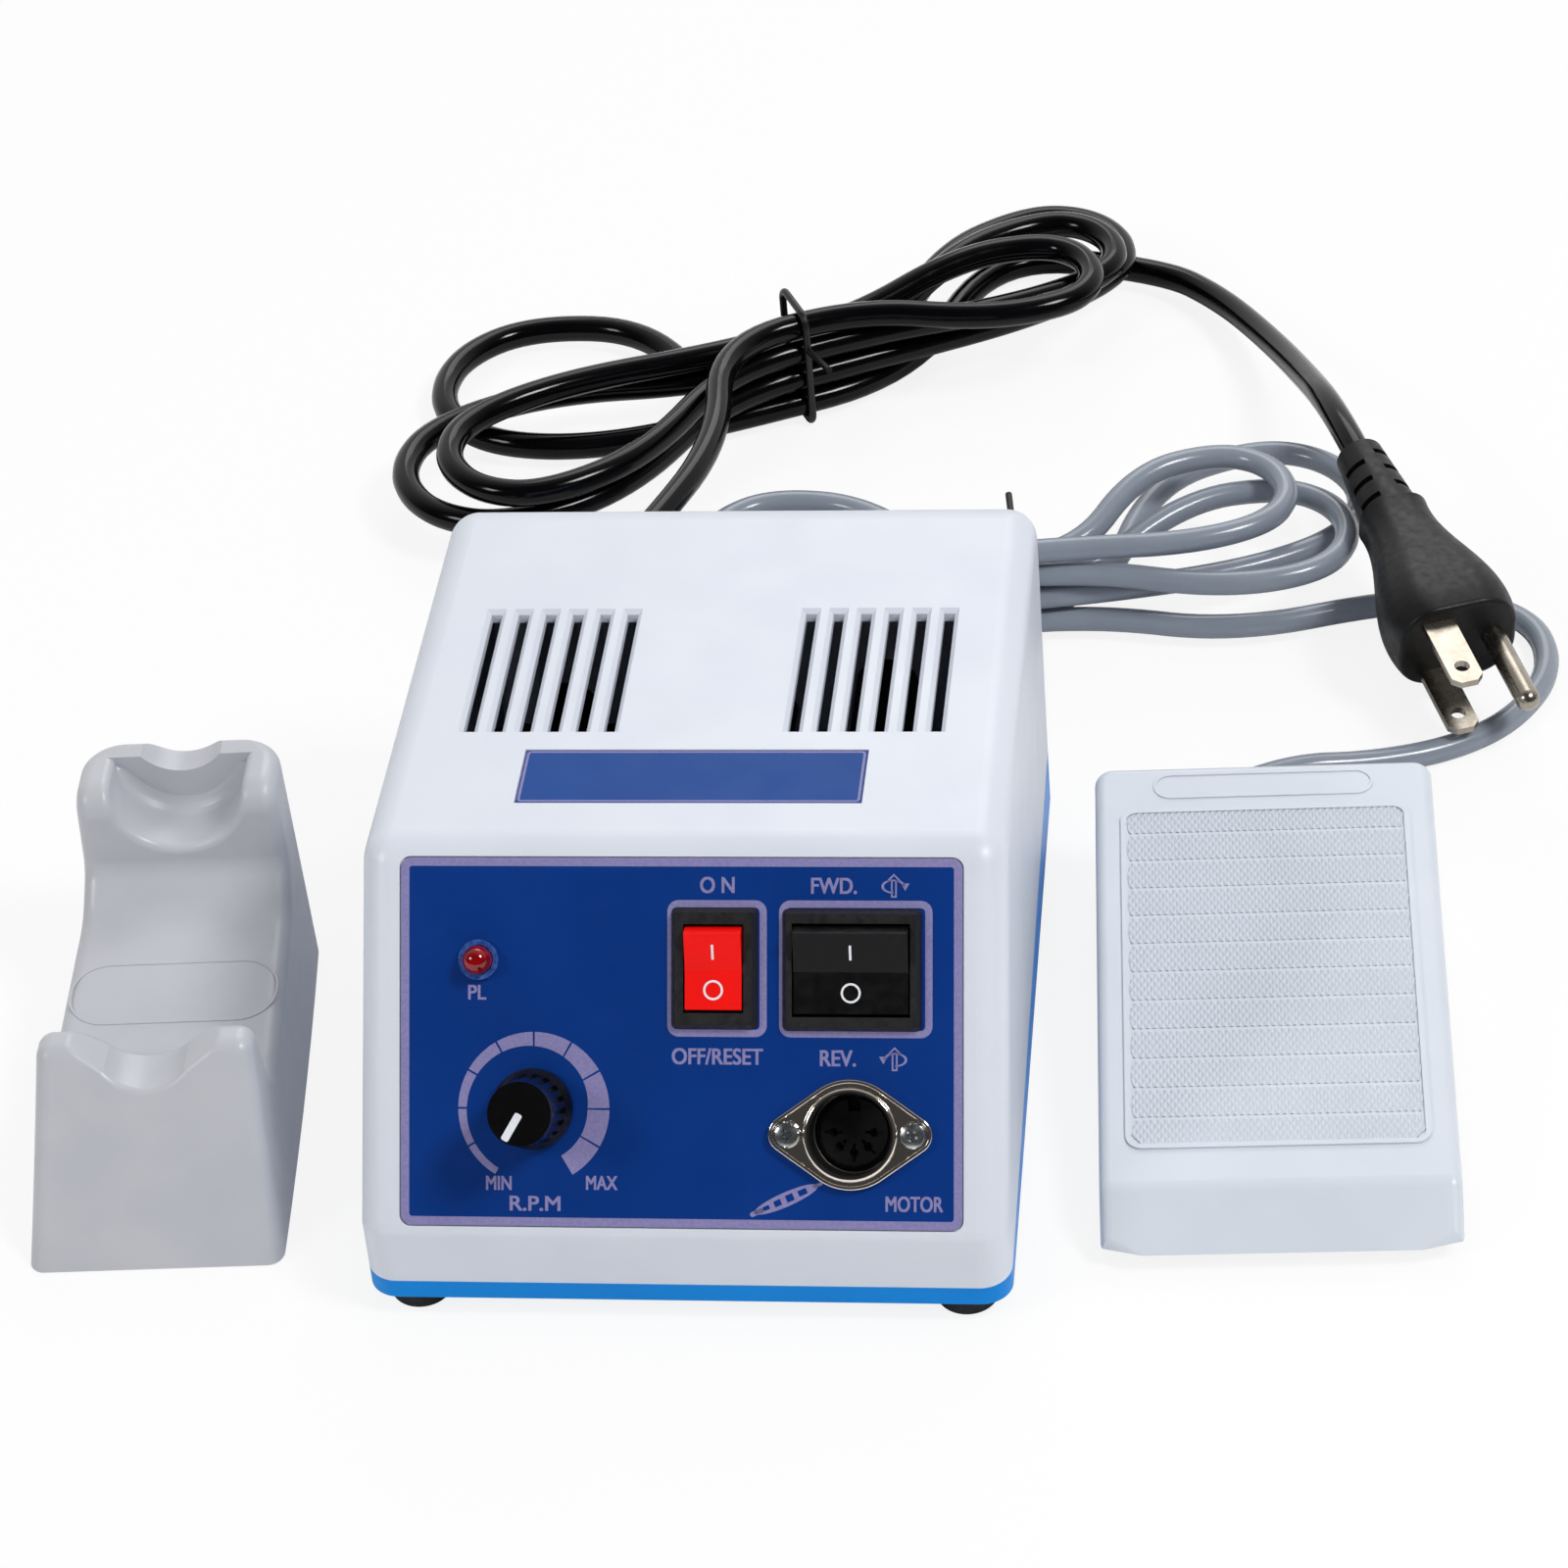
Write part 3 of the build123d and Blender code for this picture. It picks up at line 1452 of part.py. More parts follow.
bushing_place = Plane(
    origin=pedal_floor.from_local_coords((bushing_x, base_rear_y - bushing_in, bushing_z)),
    x_dir=-pedal_floor.x_dir,
    z_dir=pedal_floor.y_dir,
)
cord_diameter = 5.0
with BuildPart() as pedal_cord_bushing:
    with BuildSketch(bushing_place):
        Circle(bushing_radius)
    with BuildSketch(bushing_place.offset(bushing_in + bushing_length)):
        Circle(cord_diameter / 2 + running + spring_wire / 2)
    loft()

# Cords: free stretches in straight runs and tangent arcs, hanks in arcs


def box_place(x, y, z):
    """Place measured from the control box's front middle on the bench."""
    return Vector(box_x + x, box_y + y, z)


def bend_radii(points):
    """Radius at each inner point, as large as the shorter of its two runs allows."""
    radii = []
    for before, here, after in zip(points, points[1:], points[2:]):
        arriving = here - before
        leaving = after - here
        half_turn = radians(arriving.get_angle(leaving)) / 2
        shorter = min(arriving.length, leaving.length)
        radii.append(bend_share * shorter / tan(half_turn))
    return radii


def cord_tube(name, points, diameter):
    """Round cord along straight runs joined by tangent arcs."""
    radii = bend_radii(points)
    with BuildPart() as tube:
        with BuildLine() as route:
            FilletPolyline(*points, radius=radii)
        path = route.wire()
        with BuildSketch(Plane(origin=path @ 0, z_dir=path % 0)):
            Circle(diameter / 2)
        sweep(path=path)
    section = pi * diameter**2 / 4
    share = tube.part.volume / (section * path.length)
    print(name, "radii", [round(radius, 1) for radius in radii])
    print(name, "length", round(path.length, 1), "volume share", round(share, 4))
    return tube.part


def flat_way(angle):
    """Level heading at an angle from +X, in degrees."""
    return Vector(cos(radians(angle)), sin(radians(angle)), 0)


def lobe_nodes(middle, height, angle, reach, half_width):
    """Three nodes round one lobe of a hank: outward flank, far end, homeward flank."""
    out = flat_way(angle)
    side = flat_way(angle + 90)
    foot = Vector(middle.X, middle.Y, height)
    shoulder = foot + out * (reach - half_width)
    return [
        (shoulder + side * half_width, out),
        (foot + out * reach, side * -1),
        (shoulder - side * half_width, out * -1),
    ]


def hank_nodes(middle, axis, low, pitch, half_gap, left_lobes, right_lobes):
    """Nodes of a hank: each loop climbs one layer on its way from the waist to the right."""
    ahead = flat_way(axis)
    across = flat_way(axis + 90) * half_gap
    nodes = []
    for layer, (left, right) in enumerate(zip(left_lobes, right_lobes)):
        height = low + layer * pitch
        base = Vector(middle.X, middle.Y, height)
        nodes.append((base - across, ahead * -1))
        nodes.extend(lobe_nodes(middle, height, *left))
        nodes.append((base + across, ahead))
        nodes.extend(lobe_nodes(middle, height + pitch, *right))
    top = Vector(middle.X, middle.Y, low + len(left_lobes) * pitch)
    nodes.append((top - across, ahead * -1))
    return nodes


def way(start, end):
    """Heading from one place to another."""
    return (end - start).normalized()


mains_diameter = 5.8
tie_wire = 1.6
tie_slip = 0.2
layer_gap = 0.7

# Mains cord: plug's place first, then the tail, the hank and the lead to the inlet
mains_low = tie_wire + tie_slip + mains_diameter / 2
mains_pitch = mains_diameter + layer_gap
mains_middle = box_place(-7, 288, mains_low)
mains_axis = 26.0
mains_half_gap = (mains_diameter + layer_gap) / 2
mains_left_lobes = [(176, 80, 24), (212, 92, 22), (217, 84, 18)]
mains_right_lobes = [(41, 86, 17), (33, 78, 14), (17, 66, 13)]

relief_place = box_place(115.2, 231.5, 24.5)
face_place = box_place(134.4, 178.5, 16.5)
plug_way = way(relief_place, face_place)
plug_run = 16.0

tail_points = [
    box_place(57, 340.5, mains_low),
    box_place(71, 337.5, mains_low),
    box_place(84, 324, 5.5),
    box_place(94.5, 303, 9),
    box_place(103, 277, 16),
    relief_place - plug_way * plug_run,
    relief_place,
]
lead_points = [
    box_place(-24.5, 222, mains_low + 3 * mains_pitch),
    box_place(-30, 206, mains_low + 3 * mains_pitch),
    box_place(inlet_x, 191, inlet_z),
    box_place(inlet_x, box_depth + inlet_flange + boot_length, inlet_z),
]
mains_nodes = hank_nodes(
    mains_middle,
    mains_axis,
    mains_low,
    mains_pitch,
    mains_half_gap,
    mains_left_lobes,
    mains_right_lobes,
)
tail_way = way(tail_points[1], tail_points[0])
lead_way = way(lead_points[0], lead_points[1])
mains_nodes.insert(0, (tail_points[0] + tail_way * mains_diameter, tail_way))
mains_nodes.append((lead_points[0] - lead_way * mains_diameter, lead_way))

mains_hank_part, mains_hank_path = wound_tube(mains_nodes, mains_diameter, mains_diameter)
with BuildPart() as mains_cord_hank:
    add(mains_hank_part)
print("mains hank length", round(mains_hank_path.length, 1))
print("mains hank least gap", round(least_gap(mains_hank_path, mains_diameter, 700), 2))

with BuildPart() as mains_cord_tail:
    add(cord_tube("mains tail", tail_points, mains_diameter))

with BuildPart() as mains_cord_lead:
    add(cord_tube("mains lead", lead_points, mains_diameter))

# Mains plug: a ribbed relief, a tapered body, two flat blades and a round ground pin
relief_length = 20.0
relief_root_radius = 6.4
relief_tip_radius = 4.9
relief_rows = 3
relief_first = 3.4
relief_pitch = 5.4
slot_depth = 1.2
slot_width = 5.2
slot_height = 1.5
slot_turn = 45.0
plug_length = 38.0
plug_width = 24.0
plug_height = 20.0
plug_shoulder_at = 23.0
plug_shoulder_width = 23.2
plug_shoulder_height = 19.2
plug_waist_at = 11.0
plug_waist_width = 16.4
plug_waist_height = 15.0
plug_neck_width = 14.4
plug_neck_height = 13.6
plug_face_edge = 1.2
plug_corner_share = 0.4
blade_step = 12.7
blade_width = 6.35
blade_thick = 1.5
blade_length = 17.5
blade_hole_radius = 1.5
blade_hole_inset = 4.4
blade_offset = -4.6
pin_offset = 7.3
pin_radius = 2.4
pin_length = 21.0

plug_across = Vector(0, 0, 1).cross(plug_way).normalized() * -1
plug_end = Plane(origin=relief_place, x_dir=plug_across * -1, z_dir=plug_way)
body_start = relief_length
face_at = relief_length + plug_length


def plug_section(distance, width, height):
    """Rounded section of the plug's body at a distance along its axis."""
    with BuildSketch(plug_end.offset(distance)) as section:
        RectangleRounded(width, height, plug_corner_share * height)
    return section.sketch


with BuildPart() as mains_plug_body:
    with BuildSketch(plug_end):
        Circle(relief_tip_radius)
    with BuildSketch(plug_end.offset(relief_length)):
        Circle(relief_root_radius)
    loft()
    add(plug_section(body_start, plug_neck_width, plug_neck_height))
    add(plug_section(body_start + plug_waist_at, plug_waist_width, plug_waist_height))
    add(plug_section(body_start + plug_shoulder_at, plug_shoulder_width, plug_shoulder_height))
    add(plug_section(face_at, plug_width, plug_height))
    loft()
    face_rim = mains_plug_body.faces().sort_by_distance(plug_end.origin)[-1].edges()
    fillet(face_rim, plug_face_edge)
    # Staggered slots that let the relief bend
    for row in range(relief_rows):
        for pair in range(2):
            start = relief_first + (row + pair / 2) * relief_pitch
            share = start / relief_length
            surface = relief_tip_radius + share * (relief_root_radius - relief_tip_radius)
            with BuildSketch(plug_end.offset(start)):
                with PolarLocations(surface, 2, slot_turn + 90 * pair):
                    Rectangle(2 * slot_depth, slot_width)
            extrude(amount=slot_height, mode=Mode.SUBTRACT)

plug_face = plug_end.offset(face_at)
with BuildPart() as mains_plug_blades:
    with BuildSketch(plug_face):
        with Locations((blade_offset, 0)):
            with GridLocations(0, blade_step, 1, 2):
                Rectangle(blade_width, blade_thick)
    extrude(amount=blade_length)
    blade_corners = mains_plug_blades.edges().filter_by(
        lambda edge: abs(edge.tangent_at(0.5).dot(plug_face.y_dir)) > cos(lean)
    )
    chamfer(
        [
            edge
            for edge in blade_corners
            if (edge.center() - plug_face.origin).dot(plug_way) > blade_length / 2
        ],
        blade_thick,
    )
    hole_place = plug_face.from_local_coords((blade_offset, 0, blade_length - blade_hole_inset))
    with BuildSketch(Plane(origin=hole_place, x_dir=plug_way, z_dir=plug_face.y_dir)):
        Circle(blade_hole_radius)
    extrude(amount=blade_step, both=True, mode=Mode.SUBTRACT)

with BuildPart() as mains_plug_ground_pin:
    with BuildSketch(plug_face):
        with Locations((pin_offset, 0)):
            Circle(pin_radius)
    extrude(amount=pin_length - pin_radius)
    pin_end = plug_face.from_local_coords((pin_offset, 0, pin_length - pin_radius))
    with Locations(Plane(origin=pin_end, x_dir=plug_face.x_dir, z_dir=plug_way)):
        Sphere(pin_radius)

# Pedal cord: from the pedal round to the hank behind the box, then to its plug
cord_low = tie_wire + tie_slip + cord_diameter / 2
cord_pitch = cord_diameter + layer_gap
cord_middle = box_place(46, 205, cord_low)
cord_axis = 8.0
cord_half_gap = (cord_diameter + layer_gap) / 2
cord_left_lobes = [(170, 72, 18), (171, 69, 17), (171, 66, 17)]
cord_right_lobes = [(32, 78, 19), (13, 68, 16), (24, 58, 14)]

bushing_end = bushing_place.offset(bushing_in + bushing_length).origin
bushing_way = pedal_floor.y_dir
cord_floor = cord_diameter / 2
run_points = [
    bushing_end,
    bushing_end + bushing_way * cord_diameter * 2,
    box_place(103, 152, 5.4),
    box_place(117, 155.5, 3.2),
    box_place(133, 161, cord_floor),
    box_place(146, 171, cord_floor),
    box_place(153.5, 187, cord_floor),
    box_place(151, 203, cord_floor),
    box_place(139, 211, cord_floor),
    box_place(122, 209, cord_low),
    box_place(104, 203, cord_low),
]
jack_end = box_place(jack_x, box_depth + jack_flange + plug_body_length + plug_tail_length, jack_z)
top_layer = cord_low + 3 * cord_pitch
jack_points = [
    box_place(24, 203.5, top_layer),
    box_place(11, 202.5, top_layer),
    box_place(jack_x, 196, jack_z),
    jack_end,
]
cord_nodes = hank_nodes(
    cord_middle, cord_axis, cord_low, cord_pitch, cord_half_gap, cord_left_lobes, cord_right_lobes
)
run_way = way(run_points[-2], run_points[-1])
jack_way = way(jack_points[0], jack_points[1])
cord_nodes.insert(0, (run_points[-1] + run_way * cord_diameter, run_way))
cord_nodes.append((jack_points[0] - jack_way * cord_diameter, jack_way))

cord_hank_part, cord_hank_path = wound_tube(cord_nodes, cord_diameter, cord_diameter)
with BuildPart() as pedal_cord_hank:
    add(cord_hank_part)
print("pedal hank length", round(cord_hank_path.length, 1))
print("pedal hank least gap", round(least_gap(cord_hank_path, cord_diameter, 700), 2))

with BuildPart() as pedal_cord_run:
    add(cord_tube("pedal run", run_points, cord_diameter))

with BuildPart() as pedal_cord_lead:
    add(cord_tube("pedal lead", jack_points, cord_diameter))

# Wire ties round the waists of both hanks
tie_tail = 14.0


def wire_tie(middle, axis, half_gap, diameter, pitch, layers, tail_side):
    """Wire loop round a hank's waist with a twisted tail."""
    half_width = half_gap + diameter / 2 + tie_slip + tie_wire / 2
    height = diameter + layers * pitch + 2 * tie_slip + tie_wire
    waist = Plane(
        origin=Vector(middle.X, middle.Y, tie_wire / 2 + height / 2),
        x_dir=flat_way(axis + 90),
        z_dir=flat_way(axis),
    )
    corner = diameter / 2
    with BuildPart() as tie:
        with BuildLine(waist) as loop:
            FilletPolyline(
                (-half_width, -height / 2),
                (half_width, -height / 2),
                (half_width, height / 2),
                (-half_width, height / 2),
                radius=corner,
                close=True,
            )
        ring = loop.wire()
        with BuildSketch(Plane(origin=ring @ 0, z_dir=ring % 0)):
            Circle(tie_wire / 2)
        sweep(path=ring)
        foot = waist.from_local_coords((tail_side * half_width, height / 5, 0))
        tail_way = waist.x_dir * tail_side + Vector(0, 0, 1) * tie_slip
        with BuildSketch(Plane(origin=foot, z_dir=tail_way)):
            Circle(tie_wire / 2 - slip)
        extrude(amount=tie_tail)
    return tie.part


with BuildPart() as mains_hank_tie:
    add(wire_tie(mains_middle, mains_axis, mains_half_gap, mains_diameter, mains_pitch, 3, -1))

with BuildPart() as pedal_hank_tie:
    add(wire_tie(cord_middle, cord_axis, cord_half_gap, cord_diameter, cord_pitch, 3, 1))

# Every piece under its own name
pieces = {
    "top_cover": top_cover.part,
    "base_tray": base_tray.part,
    "front_panel_label": front_panel_label.part,
    "top_strip_label": top_strip_label.part,
    "rubber_feet": rubber_feet.part,
    "case_screws": case_screws.part,
    "power_switch_housing": power_switch_housing,
    "power_rocker": power_rocker,
    "direction_switch_housing": direction_switch_housing,
    "direction_rocker": direction_rocker,
    "led_holder": led_holder.part,
    "led_lens": led_lens.part,
    "potentiometer_body": potentiometer_body.part,
    "potentiometer_nut": potentiometer_nut.part,
    "potentiometer_shaft": potentiometer_shaft.part,
    "speed_knob": speed_knob.part,
    "knob_pointer": knob_pointer.part,
    "motor_socket_shell": motor_socket_shell.part,
    "motor_socket_insert": motor_socket_insert.part,
    "motor_socket_contacts": motor_socket_contacts.part,
    "motor_socket_screws": motor_socket_screws.part,
    "mains_strain_relief": mains_strain_relief.part,
    "fuse_holder": fuse_holder.part,
    "fuse_cap": fuse_cap.part,
    "foot_socket": foot_socket.part,
    "foot_cord_plug": foot_cord_plug.part,
    "transformer_core": transformer_core.part,
    "transformer_coil": transformer_coil.part,
    "transformer_strap": transformer_strap.part,
    "transformer_screws": transformer_screws.part,
    "control_board": control_board.part,
    "board_screws": board_screws.part,
    "board_capacitors": board_capacitors.part,
    "board_heat_sink": board_heat_sink.part,
    "rest_body": rest_body.part,
    "rest_pads": rest_pads.part,
    "pedal_cover": pedal_cover.part,
    "pedal_base": pedal_base.part,
    "pedal_feet": pedal_feet.part,
    "pedal_hinge_pin": pedal_hinge_pin.part,
    "pedal_return_spring": pedal_return_spring.part,
    "pedal_switch_body": pedal_switch_body.part,
    "pedal_switch_plunger": pedal_switch_plunger.part,
    "pedal_cord_bushing": pedal_cord_bushing.part,
    "pedal_cord_run": pedal_cord_run.part,
    "pedal_cord_hank": pedal_cord_hank.part,
    "pedal_cord_lead": pedal_cord_lead.part,
    "pedal_hank_tie": pedal_hank_tie.part,
    "mains_cord_tail": mains_cord_tail.part,
    "mains_cord_hank": mains_cord_hank.part,
    "mains_cord_lead": mains_cord_lead.part,
    "mains_hank_tie": mains_hank_tie.part,
    "mains_plug_body": mains_plug_body.part,
    "mains_plug_blades": mains_plug_blades.part,
    "mains_plug_ground_pin": mains_plug_ground_pin.part,
}

for name, piece in pieces.items():
    piece.label = name
    export_step(piece, f"parts/{name}.step")
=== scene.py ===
"""Looks of a laboratory micromotor set: control box, handpiece rest, foot pedal and both cords."""

import logging
import math
from dataclasses import dataclass
from enum import Enum
from functools import cache

import bmesh
import bpy
from mathutils import Matrix, Vector


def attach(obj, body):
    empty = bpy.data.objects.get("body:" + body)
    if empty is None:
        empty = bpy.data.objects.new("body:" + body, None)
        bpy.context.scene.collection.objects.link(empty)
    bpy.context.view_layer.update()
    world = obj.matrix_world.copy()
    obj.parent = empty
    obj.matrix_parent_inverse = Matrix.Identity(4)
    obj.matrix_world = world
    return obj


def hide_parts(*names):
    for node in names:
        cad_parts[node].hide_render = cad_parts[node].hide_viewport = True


def clear_start_scene() -> None:
    """Removes the objects that Blender's start scene brings."""
    for name in ("Cube", "Light", "Camera"):
        spare = bpy.data.objects.get(name)
        if spare is not None:
            bpy.data.objects.remove(spare)


clear_start_scene()
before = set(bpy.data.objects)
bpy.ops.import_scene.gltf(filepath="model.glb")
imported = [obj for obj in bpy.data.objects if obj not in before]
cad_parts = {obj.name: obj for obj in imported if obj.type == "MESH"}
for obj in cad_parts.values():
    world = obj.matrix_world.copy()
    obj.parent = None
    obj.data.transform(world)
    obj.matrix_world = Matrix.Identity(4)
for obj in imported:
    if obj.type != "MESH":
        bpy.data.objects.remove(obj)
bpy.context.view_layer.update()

MM = 0.001
WHITE = (1.0, 1.0, 1.0, 1.0)
log = logging.getLogger("micromotor")

Mesh = bmesh.types.BMesh
Place = tuple[float, float, float]
Sizes = tuple[float, float, float]
Colour = tuple[int, int, int]
Inputs = dict[str | int, object]


class Body(Enum):
    """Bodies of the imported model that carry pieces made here."""

    SET = "set"
    DIAL = "speed_dial"
    POWER = "power_switch"
    DIRECTION = "direction_switch"
    TREAD = "pedal_tread"


class Side(Enum):
    """The two faces of a rocker, seen from the front of the box."""

    UPPER = 1
    LOWER = -1


# Finishes


def linear(colour: Colour) -> tuple[float, ...]:
    """Linear colour from the eight-bit values it is seen with.

    Args:
        colour: Red, green and blue from 0 to 255.

    Returns:
        The linear red, green and blue with full alpha.
    """
    parts = []
    for value in colour:
        share = value / 255
        parts.append(share / 12.92 if share <= 0.04045 else ((share + 0.055) / 1.055) ** 2.4)
    return (*parts, 1.0)


@dataclass(frozen=True)
class Shading:
    """The nodes of a material or of the world.

    Attributes:
        tree: The node tree.
    """

    tree: bpy.types.NodeTree

    def fill(self, node: bpy.types.Node, inputs: Inputs) -> None:
        """Sets or links a node's inputs.

        Args:
            node: The node.
            inputs: For each input, its value, or the node or output that it is linked to.
        """
        for key, value in inputs.items():
            if isinstance(value, bpy.types.Node):
                value = value.outputs[0]
            if isinstance(value, bpy.types.NodeSocket):
                self.tree.links.new(value, node.inputs[key])
            else:
                node.inputs[key].default_value = value

    def add(self, kind: str, inputs: Inputs) -> bpy.types.Node:
        """Adds a node.

        Args:
            kind: Its kind, by Blender's name.
            inputs: Its inputs, as for fill.

        Returns:
            The node.
        """
        node = self.tree.nodes.new(kind)
        self.fill(node, inputs)
        return node

    def noise(self, places: object, size: float, detail: float) -> bpy.types.Node:
        """Adds a noise that reads the given places, with features of a size in millimetres."""
        inputs = {"Vector": places, "Scale": 1 / (size * MM), "Detail": detail}
        return self.add("ShaderNodeTexNoise", inputs)

    def ramp(self, factor: bpy.types.Node, stops: dict[float, Colour]) -> bpy.types.Node:
        """Adds a ramp of colours.

        Args:
            factor: The node that the ramp follows.
            stops: Each colour by its position, lowest first.

        Returns:
            The ramp.
        """
        node = self.add("ShaderNodeValToRGB", {"Fac": factor})
        elements = node.color_ramp.elements
        for position in list(stops)[1:-1]:
            elements.new(position)
        for element, (position, colour) in zip(elements, stops.items()):
            element.position = position
            element.color = linear(colour)
        return node


@dataclass(frozen=True)
class Finish:
    """A moulded or painted surface with a faint mottle and a fine grain.

    Attributes:
        name: The material's name.
        colour: The mean colour as it is seen.
        shade: The colour of the darker patches.
        roughness: Middle of the roughness range.
        spread: Half of the roughness range.
        patch: Size of the colour patches in millimetres.
        grain: Size of the surface grain in millimetres.
        depth: Depth of the grain in millimetres.
        metallic: Metal share of the surface.
        specular: Strength of the reflection of a plastic.
        coat: Weight of a clear coat.
        coat_roughness: Roughness of that coat.
        relief: Strength of the grain.
        noise_reach: Range of a noise's factor, outside which it seldom goes.
    """

    name: str
    colour: Colour
    shade: Colour
    roughness: float = 0.4
    spread: float = 0.06
    patch: float = 9.0
    grain: float = 0.35
    depth: float = 0.004
    metallic: float = 0.0
    specular: float = 0.5
    coat: float = 0.0
    coat_roughness: float = 0.12
    relief: float = 0.6
    noise_reach: tuple[float, float] = (0.3, 0.7)

    @cache
    def material(self) -> bpy.types.Material:
        """Makes the material, once.

        Returns:
            The node material of this finish.
        """
        made = bpy.data.materials.new(self.name)
        made.use_nodes = True
        shading = Shading(made.node_tree)
        places = shading.add("ShaderNodeTexCoord", {}).outputs["Object"]
        roughness = {
            "Value": shading.noise(places, self.patch / 3, 4.0),
            "From Min": self.noise_reach[0],
            "From Max": self.noise_reach[1],
            "To Min": self.roughness - self.spread,
            "To Max": self.roughness + self.spread,
        }
        relief = {
            "Strength": self.relief,
            "Distance": self.depth * MM,
            "Height": shading.noise(self.grain_places(shading, places), self.grain, 2.0),
        }
        surface = {
            "Base Color": self.base_colour(shading, places),
            "Roughness": shading.add("ShaderNodeMapRange", roughness),
            "Normal": shading.add("ShaderNodeBump", relief),
        }
        shading.fill(shading.tree.nodes["Principled BSDF"], self.even_values() | surface)
        return made

    def even_values(self) -> Inputs:
        """The values that are the same all over the surface."""
        return {
            "Metallic": self.metallic,
            "Specular IOR Level": self.specular,
            "Coat Weight": self.coat,
            "Coat Roughness": self.coat_roughness,
        }

    def base_colour(self, shading: Shading, places: object) -> bpy.types.Node:
        """Adds the mottled colour."""
        stops = {0.36: self.shade, 0.62: self.colour}
        return shading.ramp(shading.noise(places, self.patch, 3.0), stops)

    def grain_places(self, shading: Shading, places: object) -> object:
        """The places that the grain reads."""
        return places


@dataclass(frozen=True)
class GlassyPlastic(Finish):
    """A see-through plastic, such as a lamp's lens or its collar.

    Attributes:
        clear: How much of the light passes through.
        bending: Its index of refraction.
    """

    clear: float = 0.35
    bending: float = 1.5

    def even_values(self) -> Inputs:
        """The same values, with light let through."""
        return super().even_values() | {"Transmission Weight": self.clear, "IOR": self.bending}


@dataclass(frozen=True)
class BrushedMetal(Finish):
    """A metal with fine lines across one direction.

    Attributes:
        stretch: How much longer the lines are than they are wide.
    """

    stretch: float = 30.0

    def grain_places(self, shading: Shading, places: object) -> object:
        """The same places, drawn out to lines of brushing."""
        inputs = {"Vector": places, "Scale": (1 / self.stretch, 1.0, 1.0)}
        return shading.add("ShaderNodeMapping", inputs)


@dataclass(frozen=True)
class ScuffedPlastic(Finish):
    """A dark plastic with a few pale rub marks.

    Attributes:
        mark: Colour of the marks.
        mark_size: Size of the marks in millimetres.
    """

    mark: Colour = (70, 70, 72)
    mark_size: float = 1.6

    def base_colour(self, shading: Shading, places: object) -> bpy.types.Node:
        """Adds the plain colour with the marks over it."""
        stops = {0.4: self.shade, 0.66: self.colour, 0.82: self.mark}
        return shading.ramp(shading.noise(places, self.mark_size, 6.0), stops)


COVER = Finish("cover_white_moulded", (214, 219, 229), (210, 215, 226), 0.36, 0.05, 30, 0.5, 0.003)
BASE = Finish(
    "base_azure_moulded", (0, 134, 220), (0, 128, 213), 0.36, 0.05, 25, 0.5, 0.003, specular=0.15
)
PANEL = Finish(
    "panel_blue_print", (4, 52, 128), (3, 49, 123), 0.34, 0.04, 20, 0.8, 0.0006, specular=0.14
)
STRIP = Finish(
    "strip_blue_print", (22, 70, 143), (20, 66, 137), 0.34, 0.04, 20, 0.8, 0.0006, specular=0.1
)
LILAC = Finish(
    "lilac_print", (136, 131, 178), (126, 121, 169), 0.5, 0.05, 0.5, 0.3, 0.002, specular=0.3
)
BEZEL = ScuffedPlastic(
    "black_bezel_grained", (21, 21, 22), (13, 13, 14), 0.5, 0.1, 4, 0.3, 0.035,
    specular=0.6, mark=(62, 62, 64), mark_size=0.5,
)
ROCKER_RED = Finish(
    "red_rocker_satin", (246, 8, 2), (240, 6, 2), 0.36, 0.01, 9, 0.5, 0.0003, specular=0.25
)
ROCKER_BLACK = ScuffedPlastic(
    "black_rocker_satin", (9, 9, 10), (6, 6, 7), 0.36, 0.08, 6, 0.4, 0.003,
    specular=0.35, mark=(40, 40, 42), mark_size=2.4,
)
PRINT_WHITE = Finish("white_print", (232, 234, 240), (222, 224, 232), 0.5, 0.05, 2, 0.3, 0.002)
LENS = GlassyPlastic(
    "lamp_red_lens", (150, 0, 6), (108, 0, 3), 0.03, 0.005, 3, 0.5, 0.0001,
    specular=0.7, clear=0.05,
)
COLLAR = GlassyPlastic(
    "lamp_clear_collar", (66, 104, 178), (32, 70, 148), 0.08, 0.03, 0.9, 0.5, 0.002,
    coat=1.0, clear=0.1,
)
CHROME = Finish(
    "socket_bright_chrome", (240, 231, 221), (236, 227, 217), 0.08, 0.02, 5, 0.9, 0.0001, 1.0
)
ZINC = BrushedMetal("zinc_screws", (214, 218, 222), (196, 202, 208), 0.2, 0.05, 2, 0.2, 0.0008, 1.0)
STEEL = BrushedMetal("plain_steel", (176, 178, 182), (158, 160, 166), 0.35, 0.06, 4, 0.3, 0.001, 1.0)
BRASS = Finish("contact_brass", (92, 74, 42), (70, 54, 30), 0.4, 0.08, 2, 0.3, 0.001, 1.0)
NICKEL = BrushedMetal(
    "plug_nickel", (172, 164, 152), (158, 150, 138), 0.26, 0.04, 4, 0.25, 0.0008, 1.0
)
KNOB = Finish("knob_black_gloss", (7, 7, 8), (4, 4, 5), 0.17, 0.04, 5, 0.6, 0.0012)
SOCKET_BLACK = Finish("socket_black_matte", (9, 9, 10), (6, 6, 7), 0.5, 0.08, 3, 0.3, 0.004)
RUBBER = Finish("foot_rubber", (20, 20, 21), (14, 14, 15), 0.7, 0.08, 3, 0.35, 0.01)
REST = Finish("rest_grey_moulded", (190, 192, 198), (184, 186, 193), 0.34, 0.05, 20, 0.5, 0.003)
PEDAL = Finish("pedal_grey_moulded", (210, 216, 225), (205, 212, 221), 0.34, 0.05, 25, 0.5, 0.003)
